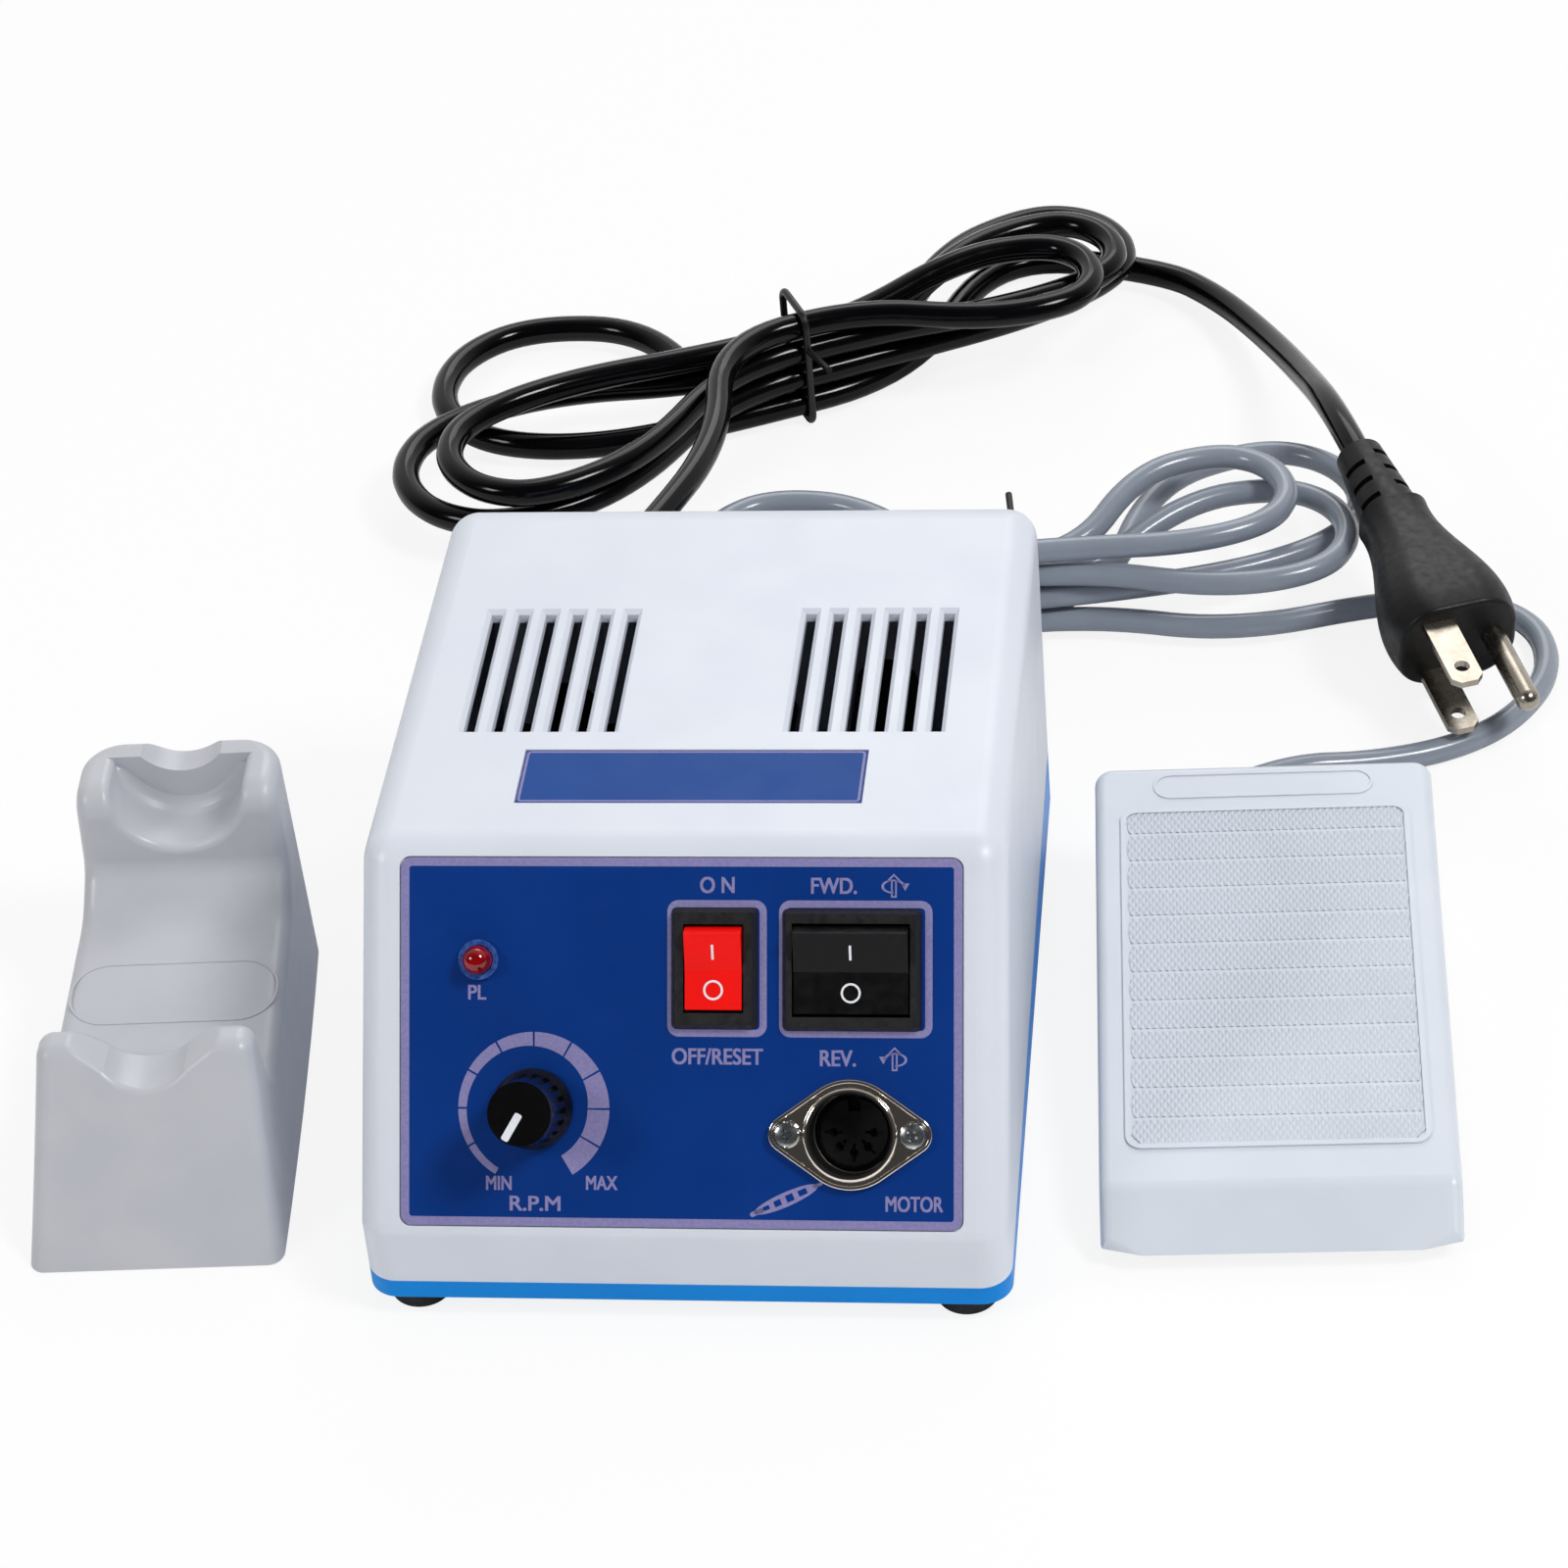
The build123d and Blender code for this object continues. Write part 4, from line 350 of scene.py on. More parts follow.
PEDAL_BASE = Finish("pedal_base_moulded", (150, 154, 160), (140, 144, 150), 0.5, 0.05, 20, 0.5, 0.005)
CORD_GREY = Finish("grey_cord_jacket", (134, 142, 154), (130, 138, 150), 0.2, 0.03, 12, 0.4, 0.001)
CORD_BLACK = Finish(
    "black_cord_jacket", (6, 6, 8), (4, 4, 6), 0.13, 0.03, 12, 0.4, 0.0006, specular=0.22
)
PLUG_BLACK = ScuffedPlastic(
    "plug_black_moulded", (9, 9, 10), (6, 6, 7), 0.44, 0.08, 5, 0.35, 0.01,
    specular=0.3, mark=(20, 20, 21), mark_size=1.2,
)
TIE = Finish("tie_black_wire", (10, 10, 11), (7, 7, 8), 0.4, 0.06, 3, 0.3, 0.003)
CORE = Finish("core_laminations", (96, 100, 106), (70, 74, 80), 0.45, 0.1, 3, 0.4, 0.004, 0.8)
COIL = Finish("coil_tape", (222, 196, 90), (208, 180, 76), 0.4, 0.06, 4, 0.4, 0.004)
BOARD = Finish("board_green", (20, 92, 48), (16, 80, 42), 0.35, 0.06, 4, 0.4, 0.003)
SINK = BrushedMetal("sink_aluminium", (190, 192, 196), (166, 168, 172), 0.4, 0.08, 4, 0.3, 0.001, 1.0)

Dress = dict[Finish, tuple[str, ...]]


class SubAssembly:
    """A group of pieces that is dressed and built together."""

    def finishes(self) -> Dress:
        """The finish of each CAD node that stays in view."""
        return {}

    def pieces(self) -> None:
        """Builds the pieces that the CAD leaves to the looks."""

    def build(self) -> None:
        """Dresses the group's CAD nodes and builds its own pieces."""
        for finish, names in self.finishes().items():
            for name in names:
                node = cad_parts[name]
                node.data.materials.clear()
                node.data.materials.append(finish.material())
                log.info("finish %s on %s", finish.name, name)
        self.pieces()


# Making pieces


def rotation(degrees: float, axis: str = "Z") -> Matrix:
    """A turn about an axis through the origin."""
    return Matrix.Rotation(math.radians(degrees), 4, axis)


def in_scene(name: str, data: bpy.types.ID) -> bpy.types.Object:
    """Adds an object to the scene.

    Args:
        name: Its name.
        data: Its mesh, curve, camera or light.

    Returns:
        The object.
    """
    made = bpy.data.objects.new(name, data)
    bpy.context.scene.collection.objects.link(made)
    return made


def stored(name: str, mesh: Mesh) -> bpy.types.Mesh:
    """Stores a drawn mesh, which is used up.

    Args:
        name: Its name.
        mesh: The shape.

    Returns:
        The stored mesh.
    """
    data = bpy.data.meshes.new(name)
    mesh.to_mesh(data)
    mesh.free()
    return data


def drawn_again(data: bpy.types.Mesh) -> Mesh:
    """Takes a stored mesh, which is removed, back to be drawn on.

    Args:
        data: The stored mesh.

    Returns:
        The mesh.
    """
    mesh = bmesh.new()
    mesh.from_mesh(data)
    bpy.data.meshes.remove(data)
    return mesh


def finished_piece(
    name: str,
    mesh: Mesh,
    place: Matrix,
    finish: Finish,
    body: Body = Body.SET,
    smooth: float = 0.0,
) -> bpy.types.Object:
    """Turns a mesh drawn in millimetres into a piece that rides on a body.

    Args:
        name: The piece's name.
        mesh: The shape, in its own millimetre axes.
        place: Where those axes lie in the shared frame, in millimetres.
        finish: The surface.
        body: The CAD body that carries it.
        smooth: Angle in degrees up to which edges are shaded smooth, 0 for flat faces.

    Returns:
        The finished object.
    """
    bmesh.ops.remove_doubles(mesh, verts=mesh.verts[:], dist=0.0005)
    bmesh.ops.recalc_face_normals(mesh, faces=mesh.faces[:])
    mesh.transform(Matrix.Scale(MM, 4) @ place)
    data = stored(name, mesh)
    data.materials.append(finish.material())
    if smooth:
        data.shade_smooth()
        data.set_sharp_from_angle(angle=math.radians(smooth))
    piece = in_scene(name, data)
    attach(piece, body.value)
    log.info("piece %s on %s", name, body.value)
    return piece


def rounded_face(width: float, height: float, radius: float) -> Mesh:
    """A flat rectangle with round corners, one face in the XY plane.

    Args:
        width: Size along X in millimetres.
        height: Size along Y in millimetres.
        radius: Corner radius in millimetres.

    Returns:
        The mesh.
    """
    mesh = bmesh.new()
    bmesh.ops.create_grid(mesh, x_segments=1, y_segments=1, size=0.5)
    bmesh.ops.scale(mesh, vec=(width, height, 1), verts=mesh.verts[:])
    bmesh.ops.bevel(
        mesh,
        geom=mesh.verts[:],
        offset=radius,
        offset_type="OFFSET",
        segments=8,
        profile=0.5,
        affect="VERTICES",
        material=-1,
    )
    return mesh


def hollowed(mesh: Mesh, band: float) -> Mesh:
    """Leaves only a band of a given width along a flat face's outline.

    Args:
        mesh: A mesh of one face.
        band: Width of the band in millimetres.

    Returns:
        The same mesh.
    """
    mesh.normal_update()
    inner = mesh.faces[:]
    bmesh.ops.inset_region(mesh, faces=inner, thickness=band, use_even_offset=True, use_boundary=True)
    bmesh.ops.delete(mesh, geom=inner, context="FACES")
    return mesh


def raised(mesh: Mesh, height: float) -> Mesh:
    """Gives flat faces a thickness towards +Z.

    Args:
        mesh: A mesh of flat faces in the XY plane.
        height: Thickness in millimetres.

    Returns:
        The same mesh, closed.
    """
    got = bmesh.ops.extrude_face_region(mesh, geom=mesh.faces[:])
    tops = [item for item in got["geom"] if isinstance(item, bmesh.types.BMVert)]
    bmesh.ops.translate(mesh, vec=(0, 0, height), verts=tops)
    return mesh


def moved(mesh: Mesh, right: float, up: float, turn: float = 0.0) -> Mesh:
    """Turns a mesh anticlockwise by degrees, then moves it along X and Y in millimetres."""
    mesh.transform(Matrix.Translation((right, up, 0)) @ rotation(turn))
    return mesh


def joined(parts: list[Mesh]) -> Mesh:
    """Puts several meshes, which are used up, into one.

    Args:
        parts: The meshes.

    Returns:
        One mesh with all of them.
    """
    whole = bmesh.new()
    for part in parts:
        data = stored("joining", part)
        whole.from_mesh(data)
        bpy.data.meshes.remove(data)
    return whole


def spun(points: list[Place], angle: float, steps: int) -> Mesh:
    """Spins a line about Z.

    Args:
        points: Places along the line.
        angle: The turn in radians.
        steps: Steps of the turn.

    Returns:
        The mesh, closed on itself after a whole turn.
    """
    mesh = bmesh.new()
    verts = [mesh.verts.new(point) for point in points]
    edges = [mesh.edges.new(pair) for pair in zip(verts, verts[1:])]
    bmesh.ops.spin(
        mesh,
        geom=[*verts, *edges],
        cent=(0, 0, 0),
        axis=(0, 0, 1),
        dvec=(0, 0, 0),
        angle=angle,
        steps=steps,
        use_merge=angle == math.tau,
    )
    return mesh


def disc_ring(outer: float, inner: float, segments: int) -> Mesh:
    """A flat ring in the XY plane, from its radii in millimetres."""
    return spun([(inner, 0, 0), (outer, 0, 0)], math.tau, segments)


def lettering(text: str, width: float, height: float) -> Mesh:
    """A word as flat faces about the origin, fitted to a printed size.

    Args:
        text: The word.
        width: Printed width in millimetres.
        height: Printed height in millimetres.

    Returns:
        The mesh of the word.
    """
    curve = bpy.data.curves.new("lettering", "FONT")
    curve.body = text
    curve.resolution_u = 6
    holder = in_scene("lettering", curve)
    bpy.context.view_layer.update()
    mesh = drawn_again(bpy.data.meshes.new_from_object(holder))
    bpy.data.objects.remove(holder)
    bpy.data.curves.remove(curve)
    across = [vert.co.x for vert in mesh.verts]
    upward = [vert.co.y for vert in mesh.verts]
    middle = Vector((-(min(across) + max(across)) / 2, -(min(upward) + max(upward)) / 2, 0))
    bmesh.ops.translate(mesh, vec=middle, verts=mesh.verts[:])
    stretch = (width / (max(across) - min(across)), height / (max(upward) - min(upward)), 1)
    bmesh.ops.scale(mesh, vec=stretch, verts=mesh.verts[:])
    return mesh


def bold_word(text: str, width: float, height: float) -> Mesh:
    """A word in bold print: its letters laid four times, a little apart.

    Args:
        text: The word.
        width: Printed width in millimetres.
        height: Printed height in millimetres.

    Returns:
        The mesh of the word.
    """
    aside = 0.03 * height
    upward = 0.6 * aside
    lift = 0.003
    layers = []
    for number, (right, up) in enumerate(((-1, -1), (1, -1), (-1, 1), (1, 1))):
        layer = lettering(text, width - 2 * aside, height - 2 * aside)
        layer.transform(Matrix.Translation((right * aside, up * upward, number * lift)))
        layers.append(layer)
    return joined(layers)


def carved(body: Mesh, tool: Mesh) -> Mesh:
    """Cuts one closed shape from another; both are used up.

    Args:
        body: The shape that is kept.
        tool: The shape that is cut out.

    Returns:
        The carved shape.
    """
    holders = [in_scene("carving", stored("carving", mesh)) for mesh in (body, tool)]
    cut = holders[0].modifiers.new("cut", "BOOLEAN")
    cut.operation = "DIFFERENCE"
    cut.solver = "EXACT"
    cut.use_self = True
    cut.object = holders[1]
    bpy.context.view_layer.update()
    graph = bpy.context.evaluated_depsgraph_get()
    mesh = drawn_again(bpy.data.meshes.new_from_object(holders[0].evaluated_get(graph)))
    for holder in holders:
        data = holder.data
        bpy.data.objects.remove(holder)
        bpy.data.meshes.remove(data)
    return mesh


# Studio


@dataclass
class Studio:
    """Camera, lamps and floor.

    Attributes:
        eye: The camera's place in millimetres.
        tilt: Angle of the view below the horizon.
        heading: Turn of the view about the vertical.
        roll: Turn of the picture about the line of sight.
        lens: Focal length in millimetres.
        sensor: Width of the sensor in millimetres.
        clip: Nearest and farthest distance in view, in metres.
        floor_size: Side of the floor in metres.
        paper: Colour of the floor.
        paper_glow: Share of plain white in what the camera sees of the floor.
        soft_light: Strength of the even light.
        front_tone: How bright the room in front of the set looks in gloss.
        room_reach: Where the room starts to brighten and where it is white, -1 in front, 1 behind.
    """

    eye: Place = (113.11, -689.96, 588.4)
    tilt: float = 37.2
    heading: float = -8.66
    roll: float = 5.22
    lens: float = 112.5
    sensor: float = 36.0
    clip: tuple[float, float] = (0.05, 20.0)
    floor_size: float = 6.0
    paper: float = 0.92
    paper_glow: float = 0.86
    soft_light: float = 0.40
    front_tone: float = 0.05
    room_reach: tuple[float, float] = (-0.3, 0.95)

    def camera(self) -> None:
        """Makes the camera and sets it as the scene's."""
        tilt = math.radians(self.tilt)
        heading = math.radians(self.heading)
        roll = math.radians(self.roll)
        right = Vector((math.cos(heading), -math.sin(heading), 0))
        back = Vector((math.sin(heading), math.cos(heading), 0))
        down = Vector((0, 0, -1))
        ahead = back * math.cos(tilt) + down * math.sin(tilt)
        above = back * math.sin(tilt) - down * math.cos(tilt)
        picture_right = right * math.cos(roll) - above * math.sin(roll)
        picture_up = right * math.sin(roll) + above * math.cos(roll)
        data = bpy.data.cameras.new("photo_camera")
        data.lens = self.lens
        data.sensor_width = self.sensor
        data.sensor_fit = "HORIZONTAL"
        data.clip_start, data.clip_end = self.clip
        camera = in_scene("photo_camera", data)
        turn = Matrix((picture_right, picture_up, -ahead)).transposed().to_4x4()
        camera.matrix_world = Matrix.Translation(Vector(self.eye) * MM) @ turn
        bpy.context.scene.camera = camera

    def lamp(self, name: str, place: Place, size: float, power: float) -> None:
        """Adds a square lamp that faces the set.

        Args:
            name: The lamp's name.
            place: Its place in metres.
            size: Its side in metres.
            power: Its power in watts.
        """
        data = bpy.data.lights.new(name, "AREA")
        data.shape = "SQUARE"
        data.size = size
        data.energy = power
        lamp = in_scene(name, data)
        lamp.location = place
        lamp.rotation_mode = "QUATERNION"
        lamp.rotation_quaternion = (-Vector(place)).to_track_quat("-Z", "Y")

    def world(self) -> None:
        """Even light, white where the camera looks, and a room that gloss sees darker in front."""
        world = bpy.data.worlds.new("studio")
        bpy.context.scene.world = world
        world.use_nodes = True
        shading = Shading(world.node_tree)
        soft = shading.tree.nodes["Background"]
        shading.fill(soft, {"Color": WHITE, "Strength": self.soft_light})
        white = shading.add("ShaderNodeBackground", {"Color": WHITE, "Strength": 1.0})
        way = shading.add("ShaderNodeTexCoord", {}).outputs["Generated"]
        span = {
            "Value": shading.add("ShaderNodeSeparateXYZ", {"Vector": way}).outputs["Y"],
            "From Min": self.room_reach[0],
            "From Max": self.room_reach[1],
            "To Min": self.front_tone,
            "To Max": 1.0,
        }
        tone = shading.add("ShaderNodeMapRange", span)
        tone.interpolation_type = "SMOOTHSTEP"
        room = shading.add("ShaderNodeBackground", {"Color": WHITE, "Strength": tone})
        rays = shading.add("ShaderNodeLightPath", {}).outputs
        seen = {0: rays["Is Camera Ray"], 1: rays["Is Transmission Ray"]}
        straight = shading.add("ShaderNodeMath", seen)
        straight.operation = "MAXIMUM"
        glossy = {"Fac": rays["Is Glossy Ray"], 1: soft, 2: room}
        gloss = shading.add("ShaderNodeMixShader", glossy)
        shown = shading.add("ShaderNodeMixShader", {"Fac": straight, 1: gloss, 2: white})
        shading.fill(shading.tree.nodes["World Output"], {"Surface": shown})

    def floor(self) -> None:
        """A pale floor that shows white and keeps the set's shadow."""
        mesh = bmesh.new()
        bmesh.ops.create_grid(mesh, x_segments=1, y_segments=1, size=self.floor_size / 2)
        floor = in_scene("floor", stored("floor", mesh))
        paper = bpy.data.materials.new("floor_paper")
        paper.use_nodes = True
        shading = Shading(paper.node_tree)
        shader = shading.tree.nodes["Principled BSDF"]
        tone = (self.paper, self.paper, self.paper, 1.0)
        shading.fill(shader, {"Base Color": tone, "Roughness": 0.9, "Specular IOR Level": 0.0})
        glow = shading.add("ShaderNodeEmission", {"Strength": 1.0})
        straight = shading.add("ShaderNodeLightPath", {}).outputs["Is Camera Ray"]
        share = shading.add("ShaderNodeMath", {0: straight, 1: self.paper_glow})
        share.operation = "MULTIPLY"
        both = shading.add("ShaderNodeMixShader", {"Fac": share, 1: shader, 2: glow})
        shading.fill(shading.tree.nodes["Material Output"], {"Surface": both})
        floor.data.materials.append(paper)

    def build(self) -> None:
        """Makes the whole studio."""
        bpy.context.scene.view_settings.view_transform = "Standard"
        self.camera()
        self.world()
        self.floor()
        self.lamp("key", (1.0, -0.4, 1.45), 0.4, 16.5)
        self.lamp("fill", (-1.2, -0.8, 1.1), 0.4, 6.5)
        self.lamp("back", (0.1, 1.4, 1.3), 0.9, 7.0)
        log.info("studio")


# Places on the bench and on the panel

BOX_FRONT = Vector((-5.49, -76.66, 0.0))
PEDAL_PLACE = (102.6, 14.2)
PEDAL_TURN = 2.75
DIAL_MIDDLE = (-25.4, -11.5)


def from_box(x: float, y: float, z: float) -> Vector:
    """Place in millimetres measured from the control box's front middle on the bench."""
    return BOX_FRONT + Vector((x, y, z))


def flat_way(angle: float) -> Vector:
    """Level heading at an angle from +X, in degrees."""
    return Vector((math.cos(math.radians(angle)), math.sin(math.radians(angle)), 0))


def standing(place: tuple[float, float], turn: float) -> Matrix:
    """Axes of a group on the bench, from its place from the box and its turn in degrees."""
    return Matrix.Translation(from_box(*place, 0)) @ rotation(turn)


# Cords

TIE_WIRE = 1.6
TIE_SLIP = 0.2
LAYER_GAP = 0.7
Node = tuple[Vector, Vector]
Lobe = tuple[float, float, float]


@dataclass
class Hank:
    """Loops of cord laid to and fro through one tied waist.

    Attributes:
        middle: Middle of the waist, from the box's front.
        axis: Heading of the waist in degrees.
        low: Height of the lowest layer.
        pitch: Height between layers, and distance between the strands at the waist.
        left: Angle, reach and half width of each left loop, lowest first.
        right: The same for each right loop.
    """

    middle: tuple[float, float]
    axis: float
    low: float
    pitch: float
    left: list[Lobe]
    right: list[Lobe]

    def loop(self, height: float, lobe: Lobe) -> list[Node]:
        """Outward flank, far end and homeward flank of one loop.

        Args:
            height: Height of the loop's centreline.
            lobe: Its angle, reach and half width.

        Returns:
            Three places with headings.
        """
        angle, reach, half_width = lobe
        out = flat_way(angle)
        aside = flat_way(angle + 90)
        foot = from_box(*self.middle, height)
        shoulder = foot + out * (reach - half_width)
        return [
            (shoulder + aside * half_width, out),
            (foot + out * reach, -aside),
            (shoulder - aside * half_width, -out),
        ]

    def nodes(self) -> list[Node]:
        """Places with headings from the lowest strand at the waist to the highest.

        Returns:
            The nodes in the order that the cord runs.
        """
        ahead = flat_way(self.axis)
        across = flat_way(self.axis + 90) * (self.pitch / 2)
        found: list[Node] = []
        for layer, (left, right) in enumerate(zip(self.left, self.right)):
            height = self.low + layer * self.pitch
            waist = from_box(*self.middle, height)
            found.append((waist - across, -ahead))
            found.extend(self.loop(height, left))
            found.append((waist + across, ahead))
            found.extend(self.loop(height + self.pitch, right))
        top = from_box(*self.middle, self.low + len(self.left) * self.pitch)
        found.append((top - across, -ahead))
        return found


def corners_between(start: Node, end: Node) -> tuple[Vector, Vector]:
    """The two corners of a route that leaves one node and reaches the next.

    Args:
        start: Place and heading that it leaves.
        end: Place and heading that it reaches.

    Returns:
        The corner ahead of the start and the corner before the end.
    """
    gap = end[0] - start[0]
    along = gap.dot(start[1] + end[1])
    spare = 2 * (1 - start[1].dot(end[1]))
    if spare < 0.001:
        reach = gap.dot(gap) / (4 * gap.dot(end[1]))
    else:
        reach = (math.sqrt(along**2 + spare * gap.dot(gap)) - along) / spare
    return start[0] + start[1] * reach, end[0] - end[1] * reach


def tied_route(before: list[Vector], hank: Hank, after: list[Vector]) -> list[Vector]:
    """The whole route of a cord, in millimetres.

    Args:
        before: Route from the first end to the hank.
        hank: The tied loops.
        after: Route from the hank to the last end.

    Returns:
        The places that the curve is drawn by.
    """
    entry = (before[-1], (before[-1] - before[-2]).normalized())
    leave = (after[0], (after[1] - after[0]).normalized())
    nodes = [entry, *hank.nodes(), leave]
    points = before[:-1]
    for start, end in zip(nodes, nodes[1:]):
        points.extend(corners_between(start, end))
    return points + after[1:]


@dataclass
class TiedCord(SubAssembly):
    """A cord drawn as one smooth curve, with a tied hank.

    Attributes:
        diameter: Thickness of the jacket in millimetres.
        length: Length from end to end, in metres; not used.
    """

    diameter: float
    length: float

    @property
    def low(self) -> float:
        """Height of the hank's lowest layer."""
        return TIE_WIRE + TIE_SLIP + self.diameter / 2

    @property
    def pitch(self) -> float:
        """Height between layers."""
        return self.diameter + LAYER_GAP

    def curve(self, name: str, points: list[Vector], finish: Finish, slot: str) -> bpy.types.Object:
        """Draws the cord.

        Args:
            name: The piece's name.
            points: Its route from the first end.
            finish: The jacket.
            slot: Name of a material slot; not used.

        Returns:
            The curve object.
        """
        data = bpy.data.curves.new(name, "CURVE")
        data.dimensions = "3D"
        data.resolution_u = 10
        data.bevel_depth = self.diameter / 2 * MM
        data.bevel_resolution = 5
        data.use_fill_caps = True
        spline = data.splines.new("NURBS")
        spline.points.add(len(points) - 1)
        for point, place in zip(spline.points, points):
            point.co = (*(place * MM), 1.0)
        spline.order_u = 3
        spline.use_endpoint_u = True
        data.materials.append(finish.material())
        piece = in_scene(name, data)
        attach(piece, Body.SET.value)
        log.info("cord %s", name)
        return piece


@dataclass
class MainsCord(TiedCord):
    """The black mains cord from the box's rear to its plug.

    Attributes:
        straight: Length of its straight stretch behind the plug.
    """

    diameter: float = 5.8
    length: float = 1.47
    straight: float = 16

    def finishes(self) -> Dress:
        """The plug, its blades and the wire tie."""
        return {
            CORD_BLACK: ("mains_strain_relief",),
            PLUG_BLACK: ("mains_plug_body",),
            NICKEL: ("mains_plug_blades", "mains_plug_ground_pin"),
            TIE: ("mains_hank_tie",),
        }

    def pieces(self) -> None:
        low = self.low
        top = low + 3 * self.pitch
        relief = from_box(115.2, 231.5, 24.5)
        face = from_box(134.4, 178.5, 16.5)
        before = [
            relief,
            relief - (face - relief).normalized() * self.straight,
            from_box(103, 277, 16),
            from_box(94.5, 303, 9),
            from_box(84, 324, 5.5),
            from_box(71, 337.5, low),
            from_box(57, 340.5, low),
        ]
        hank = Hank(
            middle=(-7, 288),
            axis=26.0,
            low=low,
            pitch=self.pitch,
            left=[(176, 80, 24), (212, 92, 22), (217, 84, 18)],
            right=[(41, 86, 17), (33, 78, 14), (17, 66, 13)],
        )
        after = [
            from_box(-24.5, 222, top),
            from_box(-30, 206, top),
            from_box(-38, 191, 24),
            from_box(-38, 176.5, 24),
        ]
        points = tied_route(before, hank, after)
        points.reverse()
        piece = self.curve("mains_cord", points, CORD_BLACK, "cord_black")
        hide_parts("mains_cord_tail", "mains_cord_hank", "mains_cord_lead")


@dataclass
class PedalCord(TiedCord):
    """The grey cord from the pedal to the hank behind the box and into its jack.

    Attributes:
        turn: The pedal's turn in degrees.
        pedal_rear: Distance of the pedal's rear behind its front.
        bushing: How far its bushing stands out there.
        exit_aside: Distance of the bushing to the right of the pedal's middle.
        exit_height: Height of the bushing's middle.
    """

    diameter: float = 5.0
    length: float = 1.25
    turn: float = PEDAL_TURN
    pedal_rear: float = 108.3
    bushing: float = 9.0
    exit_aside: float = -7.6
    exit_height: float = 7.6

    def finishes(self) -> Dress:
        """The bushing, the jack's plug and the wire tie."""
        return {
            CORD_GREY: ("pedal_cord_bushing", "foot_cord_plug"),
            TIE: ("pedal_hank_tie",),
        }

    def pieces(self) -> None:
        low = self.low
        top = low + 3 * self.pitch
        floor = self.diameter / 2
        along = flat_way(90 + self.turn)
        start = from_box(*PEDAL_PLACE, self.exit_height) + flat_way(self.turn) * self.exit_aside
        start += along * (self.pedal_rear + self.bushing)
        before = [
            start,
            start + along * 2 * self.diameter,
            from_box(103, 152, 5.4),
            from_box(117, 155.5, 3.2),
            from_box(133, 161, floor),
            from_box(146, 171, floor),
            from_box(153.5, 187, floor),
            from_box(151, 203, floor),
            from_box(139, 211, floor),
            from_box(122, 209, low),
            from_box(104, 203, low),
        ]
        hank = Hank(
            middle=(46, 205),
            axis=8.0,
            low=low,
            pitch=self.pitch,
            left=[(170, 72, 18), (171, 69, 17), (171, 66, 17)],
            right=[(32, 78, 19), (13, 68, 16), (24, 58, 14)],
        )
        after = [
            from_box(24, 203.5, top),
            from_box(11, 202.5, top),
            from_box(2, 196, 24),
            from_box(2, 178.5, 24),
        ]
        piece = self.curve("pedal_cord", tied_route(before, hank, after), CORD_GREY, "cord_grey")
        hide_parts("pedal_cord_run", "pedal_cord_hank", "pedal_cord_lead")


# Control box


@dataclass
class ControlBox(SubAssembly):
    """Housing of the box, its feet, its rear fittings and the strip on its top, with a painted
    highlight along the strip's edge.

    Attributes:
        edge_highlight_size: Width, depth and corner radius of the pale line along the strip's edge, a
            painted highlight.
        strip_y: The strip's middle behind the box's front.
        strip_face: Height of the strip's face.
        line: Width of the painted highlight.
        ink: Thickness of the painted highlight.
    """

    edge_highlight_size: Sizes = (60.1, 14.5, 0.8)
    strip_y: float = 59.85
    strip_face: float = 73.2
    line: float = 0.45
    ink: float = 0.04

    def finishes(self) -> Dress:
        """Cover, tray, feet, screws and rear fittings."""
        return {
            COVER: ("top_cover",),
            BASE: ("base_tray",),
            STRIP: ("top_strip_label",),
            RUBBER: ("rubber_feet",),
            ZINC: ("case_screws",),
            SOCKET_BLACK: ("fuse_holder", "fuse_cap", "foot_socket"),
        }

    def pieces(self) -> None:
        """Lays a pale line along the strip's edge, a painted highlight of its recess edge catching
        light.
        """
        # painted highlight: this pale lilac line stands for light caught along the strip's recess edge
        line = raised(hollowed(rounded_face(*self.edge_highlight_size), self.line), self.ink)
        place = Matrix.Translation(from_box(0, self.strip_y, self.strip_face))
        finished_piece("strip_edge_highlight", line, place, LILAC)


class InnerWorks(SubAssembly):
    """Transformer and control board, seen only through the vents."""

    def finishes(self) -> Dress:
        """Core, coil, strap, board and what stands on it."""
        return {
            CORE: ("transformer_core",),
            COIL: ("transformer_coil",),
            ZINC: ("transformer_strap", "transformer_screws", "board_screws"),
            BOARD: ("control_board",),
            SOCKET_BLACK: ("board_capacitors",),
            SINK: ("board_heat_sink",),
        }


# Front panel


